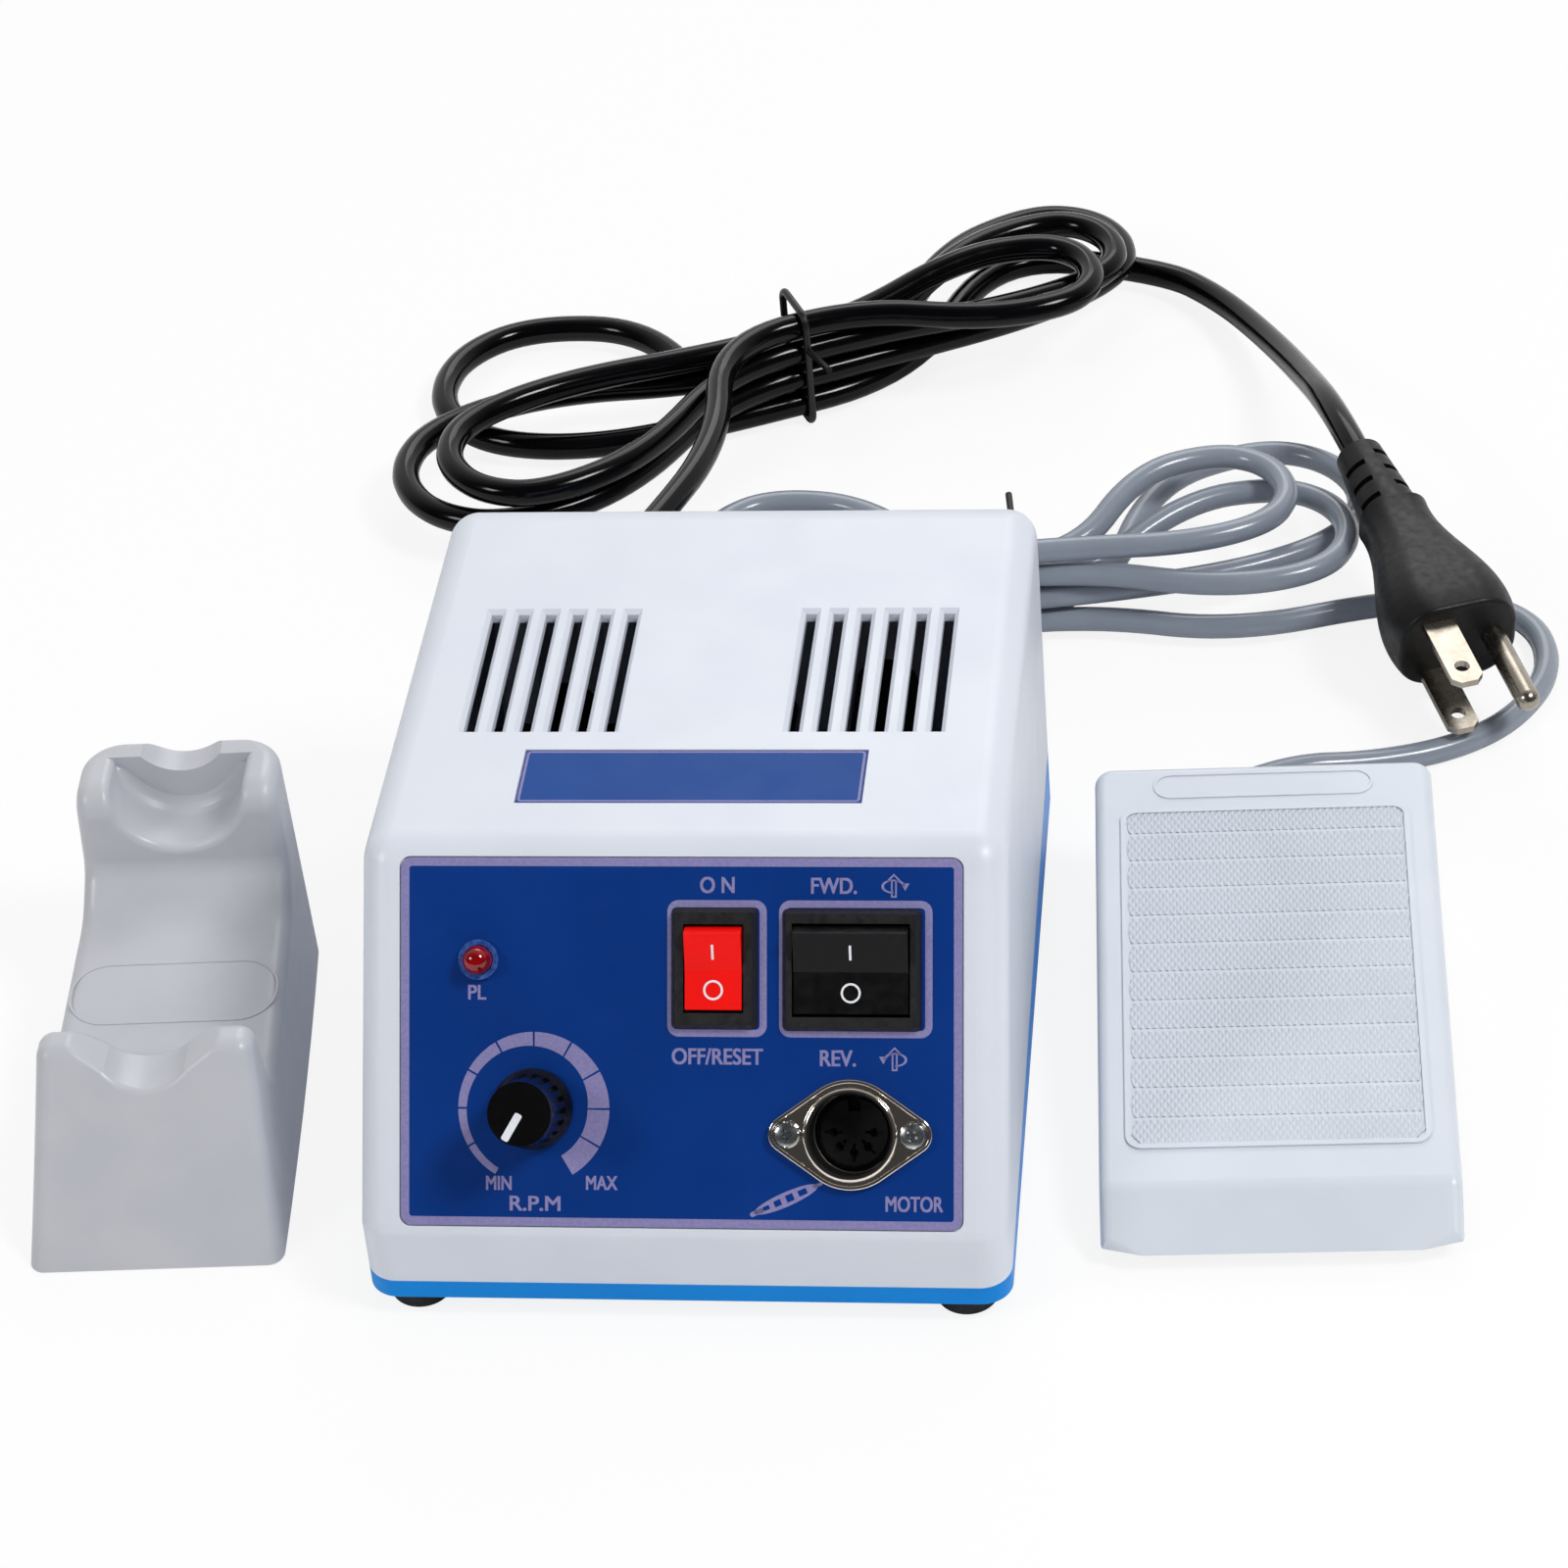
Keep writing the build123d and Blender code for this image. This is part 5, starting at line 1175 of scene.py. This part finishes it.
@dataclass
class FrontPanel(SubAssembly):
    """Print on the box's sloping panel, drawn about the label's middle.

    Attributes:
        lean: Angle of the panel from the upright, in degrees.
        foot: Height of the panel's lower edge.
        label_up: Distance from that edge to the label's middle.
        face: Height of the label's face over the panel.
        ink: Thickness of the print.
        label: Width, height and corner radius of the label.
        border: Width of the band along its edge.
        frame_ends: Lower and upper end of the frames round the switches.
        frame_sides: Each frame's name and its left and right side.
        frame_corner: Radius of a frame's corners.
        frame_line: Width of a frame's line.
        words: Each word's name, text, place to the right and up, width and height.
    """

    lean: float = 37.5
    foot: float = 19.9
    label_up: float = 33.0
    face: float = -0.2
    ink: float = 0.05
    label: Sizes = (97.4, 63.5, 2.0)
    border: float = 1.5
    frame_ends: tuple[float, float] = (1.05, 24.5)
    frame_sides: tuple = (("power_frame", -2.17, 15.04), ("direction_frame", 17.16, 43.53))
    frame_corner: float = 2.0
    frame_line: float = 1.25
    words: tuple = (
        ("word_on", "O N", 6.49, 27.1, 6.0, 2.9),
        ("word_off_reset", "OFF/RESET", 6.51, -2.31, 15.8, 2.9),
        ("word_fwd", "FWD.", 26.61, 27.0, 7.9, 2.85),
        ("word_rev", "REV.", 27.3, -2.49, 6.2, 2.85),
        ("word_pl", "PL", -35.29, 8.46, 3.2, 2.6),
        ("word_min", "MIN", -31.49, -24.38, 4.5, 2.5),
        ("word_max", "MAX", -13.54, -24.2, 5.5, 2.5),
        ("word_rpm", "R.P.M", -25.15, -27.86, 8.9, 2.65),
        ("word_motor", "MOTOR", 40.44, -27.31, 9.9, 2.75),
    )

    def finishes(self) -> Dress:
        """The label itself."""
        return {PANEL: ("front_panel_label",)}

    def place(self, right: float = 0.0, up: float = 0.0, out: float = 0.0) -> Matrix:
        """Axes at a place on the panel: X to the right, Y up the slope, Z out of it.

        Args:
            right: Distance to the right of the label's middle.
            up: Distance up the slope from it.
            out: Height over the label's face.

        Returns:
            The matrix in millimetres.
        """
        lean = math.radians(self.lean)
        across = Vector((1, 0, 0))
        upward = Vector((0, math.sin(lean), math.cos(lean)))
        outward = Vector((0, -math.cos(lean), math.sin(lean)))
        origin = BOX_FRONT + Vector((0, 0, self.foot)) + upward * (self.label_up + up)
        origin += across * right + outward * (self.face + out)
        turn = Matrix((across, upward, outward)).transposed().to_4x4()
        return Matrix.Translation(origin) @ turn

    def print_piece(self, name: str, mesh: Mesh, finish: Finish = LILAC, extra: float = 0.0) -> None:
        """Lays a flat drawing on the label as ink, with some extra thickness where it lies on more."""
        finished_piece(name, raised(mesh, self.ink + extra), self.place(), finish)

    def bands(self) -> None:
        """The band along the label's edge and the frames round the two switches."""
        self.print_piece("label_border", hollowed(rounded_face(*self.label), self.border))
        low, high = self.frame_ends
        for name, left, right in self.frame_sides:
            outline = rounded_face(right - left, high - low, self.frame_corner)
            ring = hollowed(outline, self.frame_line)
            self.print_piece(name, moved(ring, (left + right) / 2, (low + high) / 2))

    def dial_scale(self) -> None:
        """The scale round the knob, ten steps that grow broader towards the highest speed."""
        inner, outer = 10.0, 13.2
        steps, sweep, gap = 10, 300.0, 1.6
        first, grown, growth = 240.0, 240.0, 1.6
        narrow, broad = 1.2, 3.8
        parts = []
        for step in range(steps):
            start = math.radians(first - step * sweep / steps - gap / 2)
            ends = [(reach * math.cos(start), reach * math.sin(start), 0) for reach in (inner, outer)]
            mesh = spun(ends, -math.radians(sweep / steps - gap), 6)
            for vert in mesh.verts:
                if vert.co.length < (inner + outer) / 2:
                    past = (first - math.degrees(math.atan2(vert.co.y, vert.co.x))) % 360
                    share = min(1.0, past / grown)
                    band = narrow + (broad - narrow) * share**growth
                    vert.co *= (outer - band) / vert.co.length
            parts.append(mesh)
        self.print_piece("dial_scale", moved(joined(parts), *DIAL_MIDDLE))

    def turning_sign(self, mirror: int) -> Mesh:
        """An upright arrow in outline with a curl round it.

        Args:
            mirror: 1 for a curl that ends at the right, -1 for one at the left.

        Returns:
            The flat drawing about its middle.
        """
        stroke, radius = 0.28, 1.65
        shaft, shoulder, foot, neck, tip = 0.5, 1.35, -2.0, 0.75, 2.1
        outline = [(-shaft, foot), (shaft, foot), (shaft, neck), (shoulder, neck)]
        outline += [(0, tip), (-shoulder, neck), (-shaft, neck)]
        arrow = bmesh.new()
        arrow.faces.new([arrow.verts.new((across, up, 0)) for across, up in outline])
        curl = disc_ring(radius, radius - stroke * 1.3, 40)
        spare = [vert for vert in curl.verts if vert.co.y < 0 and vert.co.x > 0.2]
        bmesh.ops.delete(curl, geom=spare, context="VERTS")
        bmesh.ops.scale(curl, vec=(1.25, 0.72, 1), verts=curl.verts[:])
        barb = bmesh.new()
        bmesh.ops.create_circle(barb, cap_ends=True, segments=3, radius=0.85)
        sign = joined([hollowed(arrow, stroke), moved(curl, -0.1, -0.1), moved(barb, 1.95, 0.0, 180)])
        bmesh.ops.scale(sign, vec=(mirror, 1, 1), verts=sign.verts[:])
        bmesh.ops.recalc_face_normals(sign, faces=sign.faces[:])
        return sign

    def handpiece_sign(self) -> None:
        """A slim handpiece with four grip windows, beside the motor socket."""
        right, up, turn = 18.4, -26.7, 24.0
        body = bmesh.new()
        bmesh.ops.create_circle(body, cap_ends=True, segments=48, radius=1)
        bmesh.ops.scale(body, vec=(6.0, 1.22, 1), verts=body.verts[:])
        tail = moved(rounded_face(2.6, 0.85, 0.4), -5.5, -0.05)
        tip = moved(rounded_face(1.8, 0.55, 0.25), 6.0, 0.05)
        self.print_piece("sign_handpiece", moved(joined([body, tail, tip]), right, up, turn))
        sizes = ((-3.7, 1.1, 0.7), (-1.6, 1.25, 1.05), (0.7, 1.35, 1.25), (3.1, 1.55, 1.0))
        windows = [moved(rounded_face(width, height, 0.12), along, 0) for along, width, height in sizes]
        self.print_piece("sign_windows", moved(joined(windows), right, up, turn), PANEL, extra=0.03)

    def pieces(self) -> None:
        """Prints the whole panel."""
        self.bands()
        for name, text, right, up, width, height in self.words:
            self.print_piece(name, moved(bold_word(text, width, height), right, up))
        self.dial_scale()
        self.print_piece("sign_forward", moved(self.turning_sign(1), 36.9, 27.03))
        self.print_piece("sign_reverse", moved(self.turning_sign(-1), 37.05, -2.58))
        self.handpiece_sign()


@dataclass
class PanelFitting(SubAssembly):
    """A group that sits in the panel.

    Attributes:
        panel: The panel that carries it.
        right: Its middle, to the right of the label's.
        up: The same, up the slope.
    """

    panel: FrontPanel
    right: float
    up: float

    def place(self, out: float) -> Matrix:
        """Axes over its middle at a height over the label's face, as the panel gives them."""
        return self.panel.place(self.right, self.up, out)


@dataclass
class RockerSwitch(PanelFitting):
    """A rocker with the line and ring printed on it.

    Attributes:
        reach: Half length of the rocker.
        node: The first word of its CAD nodes' names.
        body: The rocker's body.
        colour: The rocker's finish.
        tilt: How far its upper end stands out, in degrees.
        end_angle: Angle between its length and the line from its pivot to an end's edge.
        valley: Height of the middle of its face over the pivot.
        pivot: Height of the pivot over the label's face.
        ink: Thickness of the marks.
    """

    reach: float
    node: str
    body: Body
    colour: Finish
    tilt: float = 9.0
    end_angle: float = 24.9
    valley: float = 2.0
    pivot: float = -0.2
    ink: float = 0.05

    def finishes(self) -> Dress:
        """The housing and the rocker."""
        return {BEZEL: (f"{self.node}_switch_housing",), self.colour: (f"{self.node}_rocker",)}

    def face_place(self, side: Side) -> Matrix:
        """Axes in the middle of one face of the rocker.

        Args:
            side: Which face.

        Returns:
            The matrix in millimetres.
        """
        edge_up = self.reach * math.cos(math.radians(self.end_angle))
        edge_out = self.reach * math.sin(math.radians(self.end_angle))
        slope = math.atan2(edge_out - self.valley, edge_up) * side.value
        middle = Matrix.Translation((0, side.value * edge_up / 2, (edge_out + self.valley) / 2))
        tilted = self.place(self.pivot) @ rotation(self.tilt, "X")
        return tilted @ middle @ Matrix.Rotation(slope, 4, "X")

    def pieces(self) -> None:
        """Prints both marks."""
        marks = {
            "line": (rounded_face(0.42, 2.7, 0.1), Side.UPPER),
            "ring": (disc_ring(1.72, 1.34, 40), Side.LOWER),
        }
        for word, (mesh, side) in marks.items():
            name = f"{self.body.value}_{word}"
            mark = raised(mesh, self.ink)
            finished_piece(name, mark, self.face_place(side), PRINT_WHITE, self.body)


class PilotLamp(SubAssembly):
    """The red lamp in its clear collar."""

    def finishes(self) -> Dress:
        """The lens and the collar."""
        return {LENS: ("led_lens",), COLLAR: ("led_holder",)}


@dataclass
class SpeedDial(PanelFitting):
    """The knob with its pointer, and the control behind them.

    Attributes:
        face: Height of the knob's face over the label.
        points_at: Heading of the pointer in degrees, clockwise from upwards.
        bar: Width, length and corner radius of the pointer.
        proud: How far the pointer stands out of the face.
        sunk: How far it goes into the face.
    """

    right: float = DIAL_MIDDLE[0]
    up: float = DIAL_MIDDLE[1]
    face: float = 14.6
    points_at: float = 210.0
    bar: Sizes = (1.35, 5.2, 0.35)
    proud: float = 0.14
    sunk: float = 0.3

    def finishes(self) -> Dress:
        """Knob, pointer, shaft, nut and body."""
        return {
            KNOB: ("speed_knob",),
            PRINT_WHITE: ("knob_pointer",),
            STEEL: ("potentiometer_body", "potentiometer_shaft"),
            ZINC: ("potentiometer_nut",),
        }

    def pieces(self) -> None:
        """Lays the pointer in the knob's face."""
        bar = raised(moved(rounded_face(*self.bar), 0, self.bar[1] / 2), self.proud + self.sunk)
        bmesh.ops.translate(bar, vec=(0, 0, -self.sunk), verts=bar.verts[:])
        bar = moved(bar, 0, 0, -self.points_at)
        place = self.place(self.face)
        piece = finished_piece("pointer_bar", bar, place, PRINT_WHITE, Body.DIAL)
        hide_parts("knob_pointer")


@dataclass
class MotorSocket(PanelFitting):
    """The handpiece's socket with its black sleeve and its two cross-head screws.

    Attributes:
        flange: Height of the flange's face over the label.
        bore: Radius of the chromed bore.
        sleeve: Thickness of the sleeve in it.
        rim: Height of the sleeve's front edge.
        depth: Length of the sleeve.
        middle: Radius of the flange round the bore.
        ear: Radius of the flange round a screw.
        bead: Width of the raised edge of the flange.
        bead_rise: Height of that edge.
        bead_bevel: Size of the bevel along its top.
        sunk: How far the edge goes into the flange, and the sleeve keeps from the bore.
        screw_reach: Distance of each screw from the middle.
        screw_turns: How far each screw's cross is turned, in degrees.
        head: Radius of a screw's head.
        dome: Height of a screw's head.
        blade: Length, width and height of a blade of the cross.
        blade_tip: Share of its length and width that is left at its tip.
        cross_lift: How far the cross's middle lies under the top of the head.
    """

    right: float = 29.5
    up: float = -15.5
    flange: float = 1.0
    bore: float = 7.45
    sleeve: float = 0.4
    rim: float = 1.5
    depth: float = 7.4
    middle: float = 9.5
    ear: float = 3.3
    bead: float = 0.75
    bead_rise: float = 0.4
    bead_bevel: float = 0.26
    sunk: float = 0.02
    screw_reach: float = 10.8
    screw_turns: tuple[float, float] = (22, 61)
    head: float = 2.4
    dome: float = 1.5
    blade: Sizes = (2.9, 0.62, 1.6)
    blade_tip: Sizes = (0.35, 0.6, 1)
    cross_lift: float = 0.2

    def finishes(self) -> Dress:
        """Shell, insert and contacts."""
        return {
            CHROME: ("motor_socket_shell",),
            SOCKET_BLACK: ("motor_socket_insert",),
            BRASS: ("motor_socket_contacts",),
        }

    def black_sleeve(self) -> None:
        """The moulded sleeve that lines the bore."""
        ring = disc_ring(self.bore - self.sunk, self.bore - self.sleeve, 72)
        bmesh.ops.translate(ring, vec=(0, 0, -self.depth), verts=ring.verts[:])
        tube = raised(ring, self.depth)
        place = self.place(self.rim)
        finished_piece("socket_sleeve", tube, place, SOCKET_BLACK, smooth=40)

    def flange_outline(self) -> Mesh:
        """The flange's outline, round in the middle and at both ears, as one flat face.

        Returns:
            The mesh.
        """
        mesh = bmesh.new()
        ears = ((-self.screw_reach, self.ear), (0, self.middle), (self.screw_reach, self.ear))
        for reach, radius in ears:
            for height in (0, 1):
                place = Matrix.Translation((reach, 0, height))
                bmesh.ops.create_circle(mesh, segments=96, radius=radius, matrix=place)
        hull = bmesh.ops.convex_hull(mesh, input=mesh.verts[:])
        bmesh.ops.delete(mesh, geom=hull["geom_interior"], context="VERTS")
        mesh.normal_update()
        spare = [face for face in mesh.faces if face.normal.z > -0.9]
        bmesh.ops.delete(mesh, geom=spare, context="FACES")
        bmesh.ops.dissolve_faces(mesh, faces=mesh.faces[:])
        return mesh

    def flange_edge(self) -> None:
        """The rolled edge that stands up all round the flange."""
        mesh = raised(hollowed(self.flange_outline(), self.bead), self.bead_rise)
        mesh.normal_update()
        bmesh.ops.recalc_face_normals(mesh, faces=mesh.faces[:])
        lowest = min(vert.co.z for vert in mesh.verts)
        tops = [
            edge
            for edge in mesh.edges
            if all(vert.co.z > lowest + self.bead_rise / 2 for vert in edge.verts)
            and any(abs(face.normal.z) < 0.5 for face in edge.link_faces)
        ]
        bmesh.ops.translate(mesh, vec=(0, 0, -lowest), verts=mesh.verts[:])
        bmesh.ops.bevel(
            mesh,
            geom=tops,
            offset=self.bead_bevel,
            offset_type="OFFSET",
            segments=3,
            profile=0.5,
            affect="EDGES",
            material=-1,
        )
        place = self.place(self.flange - self.sunk)
        finished_piece("socket_flange_edge", mesh, place, CHROME, smooth=50)

    def screw_head(self) -> Mesh:
        """A domed head on the flange at the origin, still without its cross.

        Returns:
            The mesh.
        """
        profile = [
            (0, 0),
            (self.head - 0.12, 0),
            (self.head, 0.15),
            (self.head - 0.1, 0.55),
            (self.head * 0.82, self.dome * 0.78),
            (self.head * 0.5, self.dome * 0.96),
            (0, self.dome),
        ]
        mesh = spun([(reach, 0, height) for reach, height in profile], math.tau, 48)
        bmesh.ops.remove_doubles(mesh, verts=mesh.verts[:], dist=0.001)
        bmesh.ops.recalc_face_normals(mesh, faces=mesh.faces[:])
        return mesh

    def cross(self) -> Mesh:
        """The tapered cross that is cut from a screw's head.

        Returns:
            The mesh, with its tip downwards.
        """
        blades = []
        for turn in (0, 90):
            blade = bmesh.new()
            bmesh.ops.create_cube(blade, size=1.0)
            bmesh.ops.scale(blade, vec=self.blade, verts=blade.verts[:])
            tips = [vert for vert in blade.verts if vert.co.z < 0]
            bmesh.ops.scale(blade, vec=self.blade_tip, verts=tips)
            lift = self.dome - self.cross_lift
            bmesh.ops.translate(blade, vec=(0, 0, lift), verts=blade.verts[:])
            blades.append(moved(blade, 0, 0, turn))
        return joined(blades)

    def screws(self) -> None:
        """Both screw heads, which stand for the plain ones."""
        heads = []
        for side, turn in zip((-1, 1), self.screw_turns):
            head = carved(self.screw_head(), self.cross())
            heads.append(moved(head, side * self.screw_reach, 0, turn))
        place = self.place(self.flange)
        piece = finished_piece(
            "socket_screw_heads", joined(heads), place, ZINC, smooth=35
        )
        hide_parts("motor_socket_screws")

    def pieces(self) -> None:
        """Builds the flange's edge, the sleeve and the screws."""
        self.flange_edge()
        self.black_sleeve()
        self.screws()


# Handpiece rest


@dataclass
class HandpieceRest(SubAssembly):
    """The grey rest with a fine raised outline in its valley and a soft corner in its trough.

    Attributes:
        place_from_box: The rest's place from the box's front middle.
        turn: Its turn in degrees.
        outline: Width and depth of the outline.
        roundness: Corner radius of the outline as a share of its depth.
        along: Distance of the outline's middle behind the rest's front.
        floor_y: Where the valley's floor begins and ends.
        floor_z: The floor's height at those places.
        line: Width of the line.
        rise: Height of the line.
        line_sunk: How far the line goes into the floor.
        height: Height of the rear block.
        trough: Width and depth of the trough at the block's top.
        trough_end: Distance of the trough's end wall behind the rest's front.
        corner: Radius of the soft corner between trough and end wall.
        corner_half: Half of the corner's sweep in degrees.
        corner_sunk: How far the corner goes into trough and wall.
        steps: Steps of its sweep and of its round section.
    """

    place_from_box: tuple[float, float] = (-97.1, 10.5)
    turn: float = 3.8
    outline: tuple[float, float] = (38.7, 15.0)
    roundness: float = 0.47
    along: float = 50.5
    floor_y: tuple[float, float] = (27.5, 70.0)
    floor_z: tuple[float, float] = (19.5, 25.0)
    line: float = 0.4
    rise: float = 0.16
    line_sunk: float = 0.02
    height: float = 48.0
    trough: tuple[float, float] = (25.0, 12.3)
    trough_end: float = 89.0
    corner: float = 3.2
    corner_half: float = 80.0
    corner_sunk: float = 0.03
    steps: tuple[int, int] = (48, 8)

    def finishes(self) -> Dress:
        """The moulding and its pads."""
        return {REST: ("rest_body",), RUBBER: ("rest_pads",)}

    def pieces(self) -> None:
        """Lays the outline on the valley's floor and the corner in the trough."""
        run = self.floor_y[1] - self.floor_y[0]
        slope = math.atan2(self.floor_z[1] - self.floor_z[0], run)
        height = self.floor_z[0] + (self.along - self.floor_y[0]) * math.tan(slope)
        width, depth = self.outline
        face = rounded_face(width, depth / math.cos(slope), depth * self.roundness)
        ring = raised(hollowed(face, self.line), self.rise + self.line_sunk)
        rest = standing(self.place_from_box, self.turn)
        middle = Matrix.Translation((0, self.along, height - self.line_sunk))
        place = rest @ middle @ Matrix.Rotation(slope, 4, "X")
        finished_piece("rest_outline", ring, place, REST)
        finished_piece("rest_trough_corner", self.soft_corner(), rest, REST)

    def soft_corner(self) -> Mesh:
        """Builds the concave corner, which thins out towards both ends.

        Returns:
            The corner about the rest's front middle.
        """
        width, depth = self.trough
        radius = (width * width / 4 + depth * depth) / (2 * depth)
        middle = self.height - depth + radius
        turns, rounds = self.steps
        outer = radius + self.corner_sunk
        rear = self.trough_end + self.corner_sunk
        mesh = bmesh.new()
        rings = []
        for turn in range(turns + 1):
            across = 2 * turn / turns - 1
            angle = math.radians(self.corner_half * across)
            size = self.corner * math.sqrt(1 - across**4) + self.corner_sunk
            section = [(outer, rear)]
            for step in range(rounds + 1):
                bend = math.pi / 2 * step / rounds
                section.append(
                    (outer - size * (1 - math.cos(bend)), rear - size * (1 - math.sin(bend)))
                )
            ring = []
            for out, back in section:
                point = (out * math.sin(angle), back, middle - out * math.cos(angle))
                ring.append(mesh.verts.new(point))
            rings.append(ring)
        for ring, following in zip(rings, rings[1:]):
            for index in range(len(ring)):
                beside = (index + 1) % len(ring)
                mesh.faces.new((ring[index], ring[beside], following[beside], following[index]))
        mesh.faces.new(rings[0])
        mesh.faces.new(rings[-1])
        bmesh.ops.recalc_face_normals(mesh, faces=mesh.faces[:])
        return mesh


# Foot pedal


@dataclass
class FootPedal(SubAssembly):
    """Grip ribs of the tread, drawn about the pedal's front middle.

    Attributes:
        place_from_box: The pedal's place from the box's front middle.
        turn: Its turn in degrees.
        front_top: Height of the tread's front edge.
        lip_y: Distance of that edge behind the pedal's front.
        rear_top: Height of the tread's rear edge.
        length: Length of the pedal.
        bands: Number of ribbed bands.
        first: Distance of the first band's middle behind the front.
        pitch: Distance between bands along the slope.
        band: Height of a band.
        width: Width of a band.
        rib_height: Height of a rib.
        sunk: How far a rib goes into the tread.
        cell: Distance between ribs.
        steep: Angle of a rib from the band's length, in degrees.
        point: How far a band's ends come to a point.
        chamfer: The same at the outer corners of the first and last band.
        chamfer_way: How much of that corner's way out is along the slope.
    """

    place_from_box: tuple[float, float] = PEDAL_PLACE
    turn: float = PEDAL_TURN
    front_top: float = 12.5
    lip_y: float = 9.0
    rear_top: float = 27.0
    length: float = 111.0
    bands: int = 12
    first: float = 20.5
    pitch: float = 6.87
    band: float = 6.1
    width: float = 51.6
    rib_height: float = 0.42
    sunk: float = 0.05
    cell: float = 1.25
    steep: float = 59.5
    point: float = 0.7
    chamfer: float = 2.4
    chamfer_way: float = 0.8

    def finishes(self) -> Dress:
        """Cover, base, feet, hinge, spring and switch."""
        return {
            PEDAL: ("pedal_cover",),
            PEDAL_BASE: ("pedal_base",),
            RUBBER: ("pedal_feet",),
            STEEL: ("pedal_hinge_pin",),
            ZINC: ("pedal_return_spring",),
            SOCKET_BLACK: ("pedal_switch_body",),
            PRINT_WHITE: ("pedal_switch_plunger",),
        }

    def tread(self, along: float) -> Matrix:
        """Axes on the tread, Z out of it.

        Args:
            along: Level distance behind the pedal's front.

        Returns:
            The matrix in millimetres.
        """
        slope = math.atan2(self.rear_top - self.front_top, self.length - self.lip_y)
        height = self.front_top + (along - self.lip_y) * math.tan(slope)
        middle = Matrix.Translation((0, along, height))
        return standing(self.place_from_box, self.turn) @ middle @ Matrix.Rotation(slope, 4, "X")

    def band_cuts(self, row: int) -> list[tuple[Place, Place]]:
        """Planes that trim one band, each a point and the way out.

        Args:
            row: The band's number, from the front.

        Returns:
            The planes.
        """
        half = self.width / 2
        top = self.band / 2
        cuts: list[tuple[Place, Place]] = [
            ((0, top, 0), (0, 1, 0)),
            ((0, -top, 0), (0, -1, 0)),
            ((0, 0, -self.sunk), (0, 0, -1)),
        ]
        for side in (1, -1):
            for edge in (1, -1):
                cuts.append(((side * half, 0, 0), (side * top, edge * self.point, 0)))
                if (edge < 0 and row == 0) or (edge > 0 and row == self.bands - 1):
                    corner = (side * (half - self.chamfer), edge * top, 0)
                    cuts.append((corner, (side, edge * self.chamfer_way, 0)))
        return cuts

    def rib_band(self, row: int) -> Mesh:
        """Crossed ribs cut to one band.

        Args:
            row: The band's number, from the front.

        Returns:
            The mesh about the band's middle.
        """
        whole = bmesh.new()
        count = int(self.width / self.cell) + 2
        reach = self.band / math.sin(math.radians(self.steep)) + 2 * self.rib_height
        for direction in (1, -1):
            for step in range(count + 1):
                bar = bmesh.ops.create_cone(
                    whole,
                    cap_ends=True,
                    segments=3,
                    radius1=self.rib_height,
                    radius2=self.rib_height,
                    depth=reach,
                )
                lay = Matrix.Translation(((step - count / 2) * self.cell, 0, 0))
                lay = lay @ rotation(direction * self.steep) @ rotation(90, "Y") @ rotation(180)
                bmesh.ops.transform(whole, matrix=lay, verts=bar["verts"])
        for point, outward in self.band_cuts(row):
            cut = bmesh.ops.bisect_plane(
                whole,
                geom=whole.verts[:] + whole.edges[:] + whole.faces[:],
                plane_co=point,
                plane_no=outward,
                clear_outer=True,
            )
            rim = [item for item in cut["geom_cut"] if isinstance(item, bmesh.types.BMEdge)]
            bmesh.ops.holes_fill(whole, edges=rim, sides=12)
        return whole

    def pieces(self) -> None:
        """Lays the bands of ribs on the tread."""
        for row in range(self.bands):
            name = f"tread_ribs_{row + 1:02d}"
            place = self.tread(self.first + row * self.pitch)
            finished_piece(name, self.rib_band(row), place, PEDAL, Body.TREAD)


def main() -> None:
    """Builds the looks of the whole set."""
    logging.basicConfig(level=logging.INFO, format="%(name)s: %(message)s")
    Studio().build()
    panel = FrontPanel()
    groups = [
        MainsCord(),
        PedalCord(),
        ControlBox(),
        InnerWorks(),
        panel,
        RockerSwitch(panel, 6.0, 12.8, 7.3, "power", Body.POWER, ROCKER_RED),
        RockerSwitch(panel, 29.7, 12.6, 7.7, "direction", Body.DIRECTION, ROCKER_BLACK),
        PilotLamp(),
        SpeedDial(panel),
        MotorSocket(panel),
        HandpieceRest(),
        FootPedal(),
    ]
    for group in groups:
        group.build()


if __name__ == "__main__":
    main()
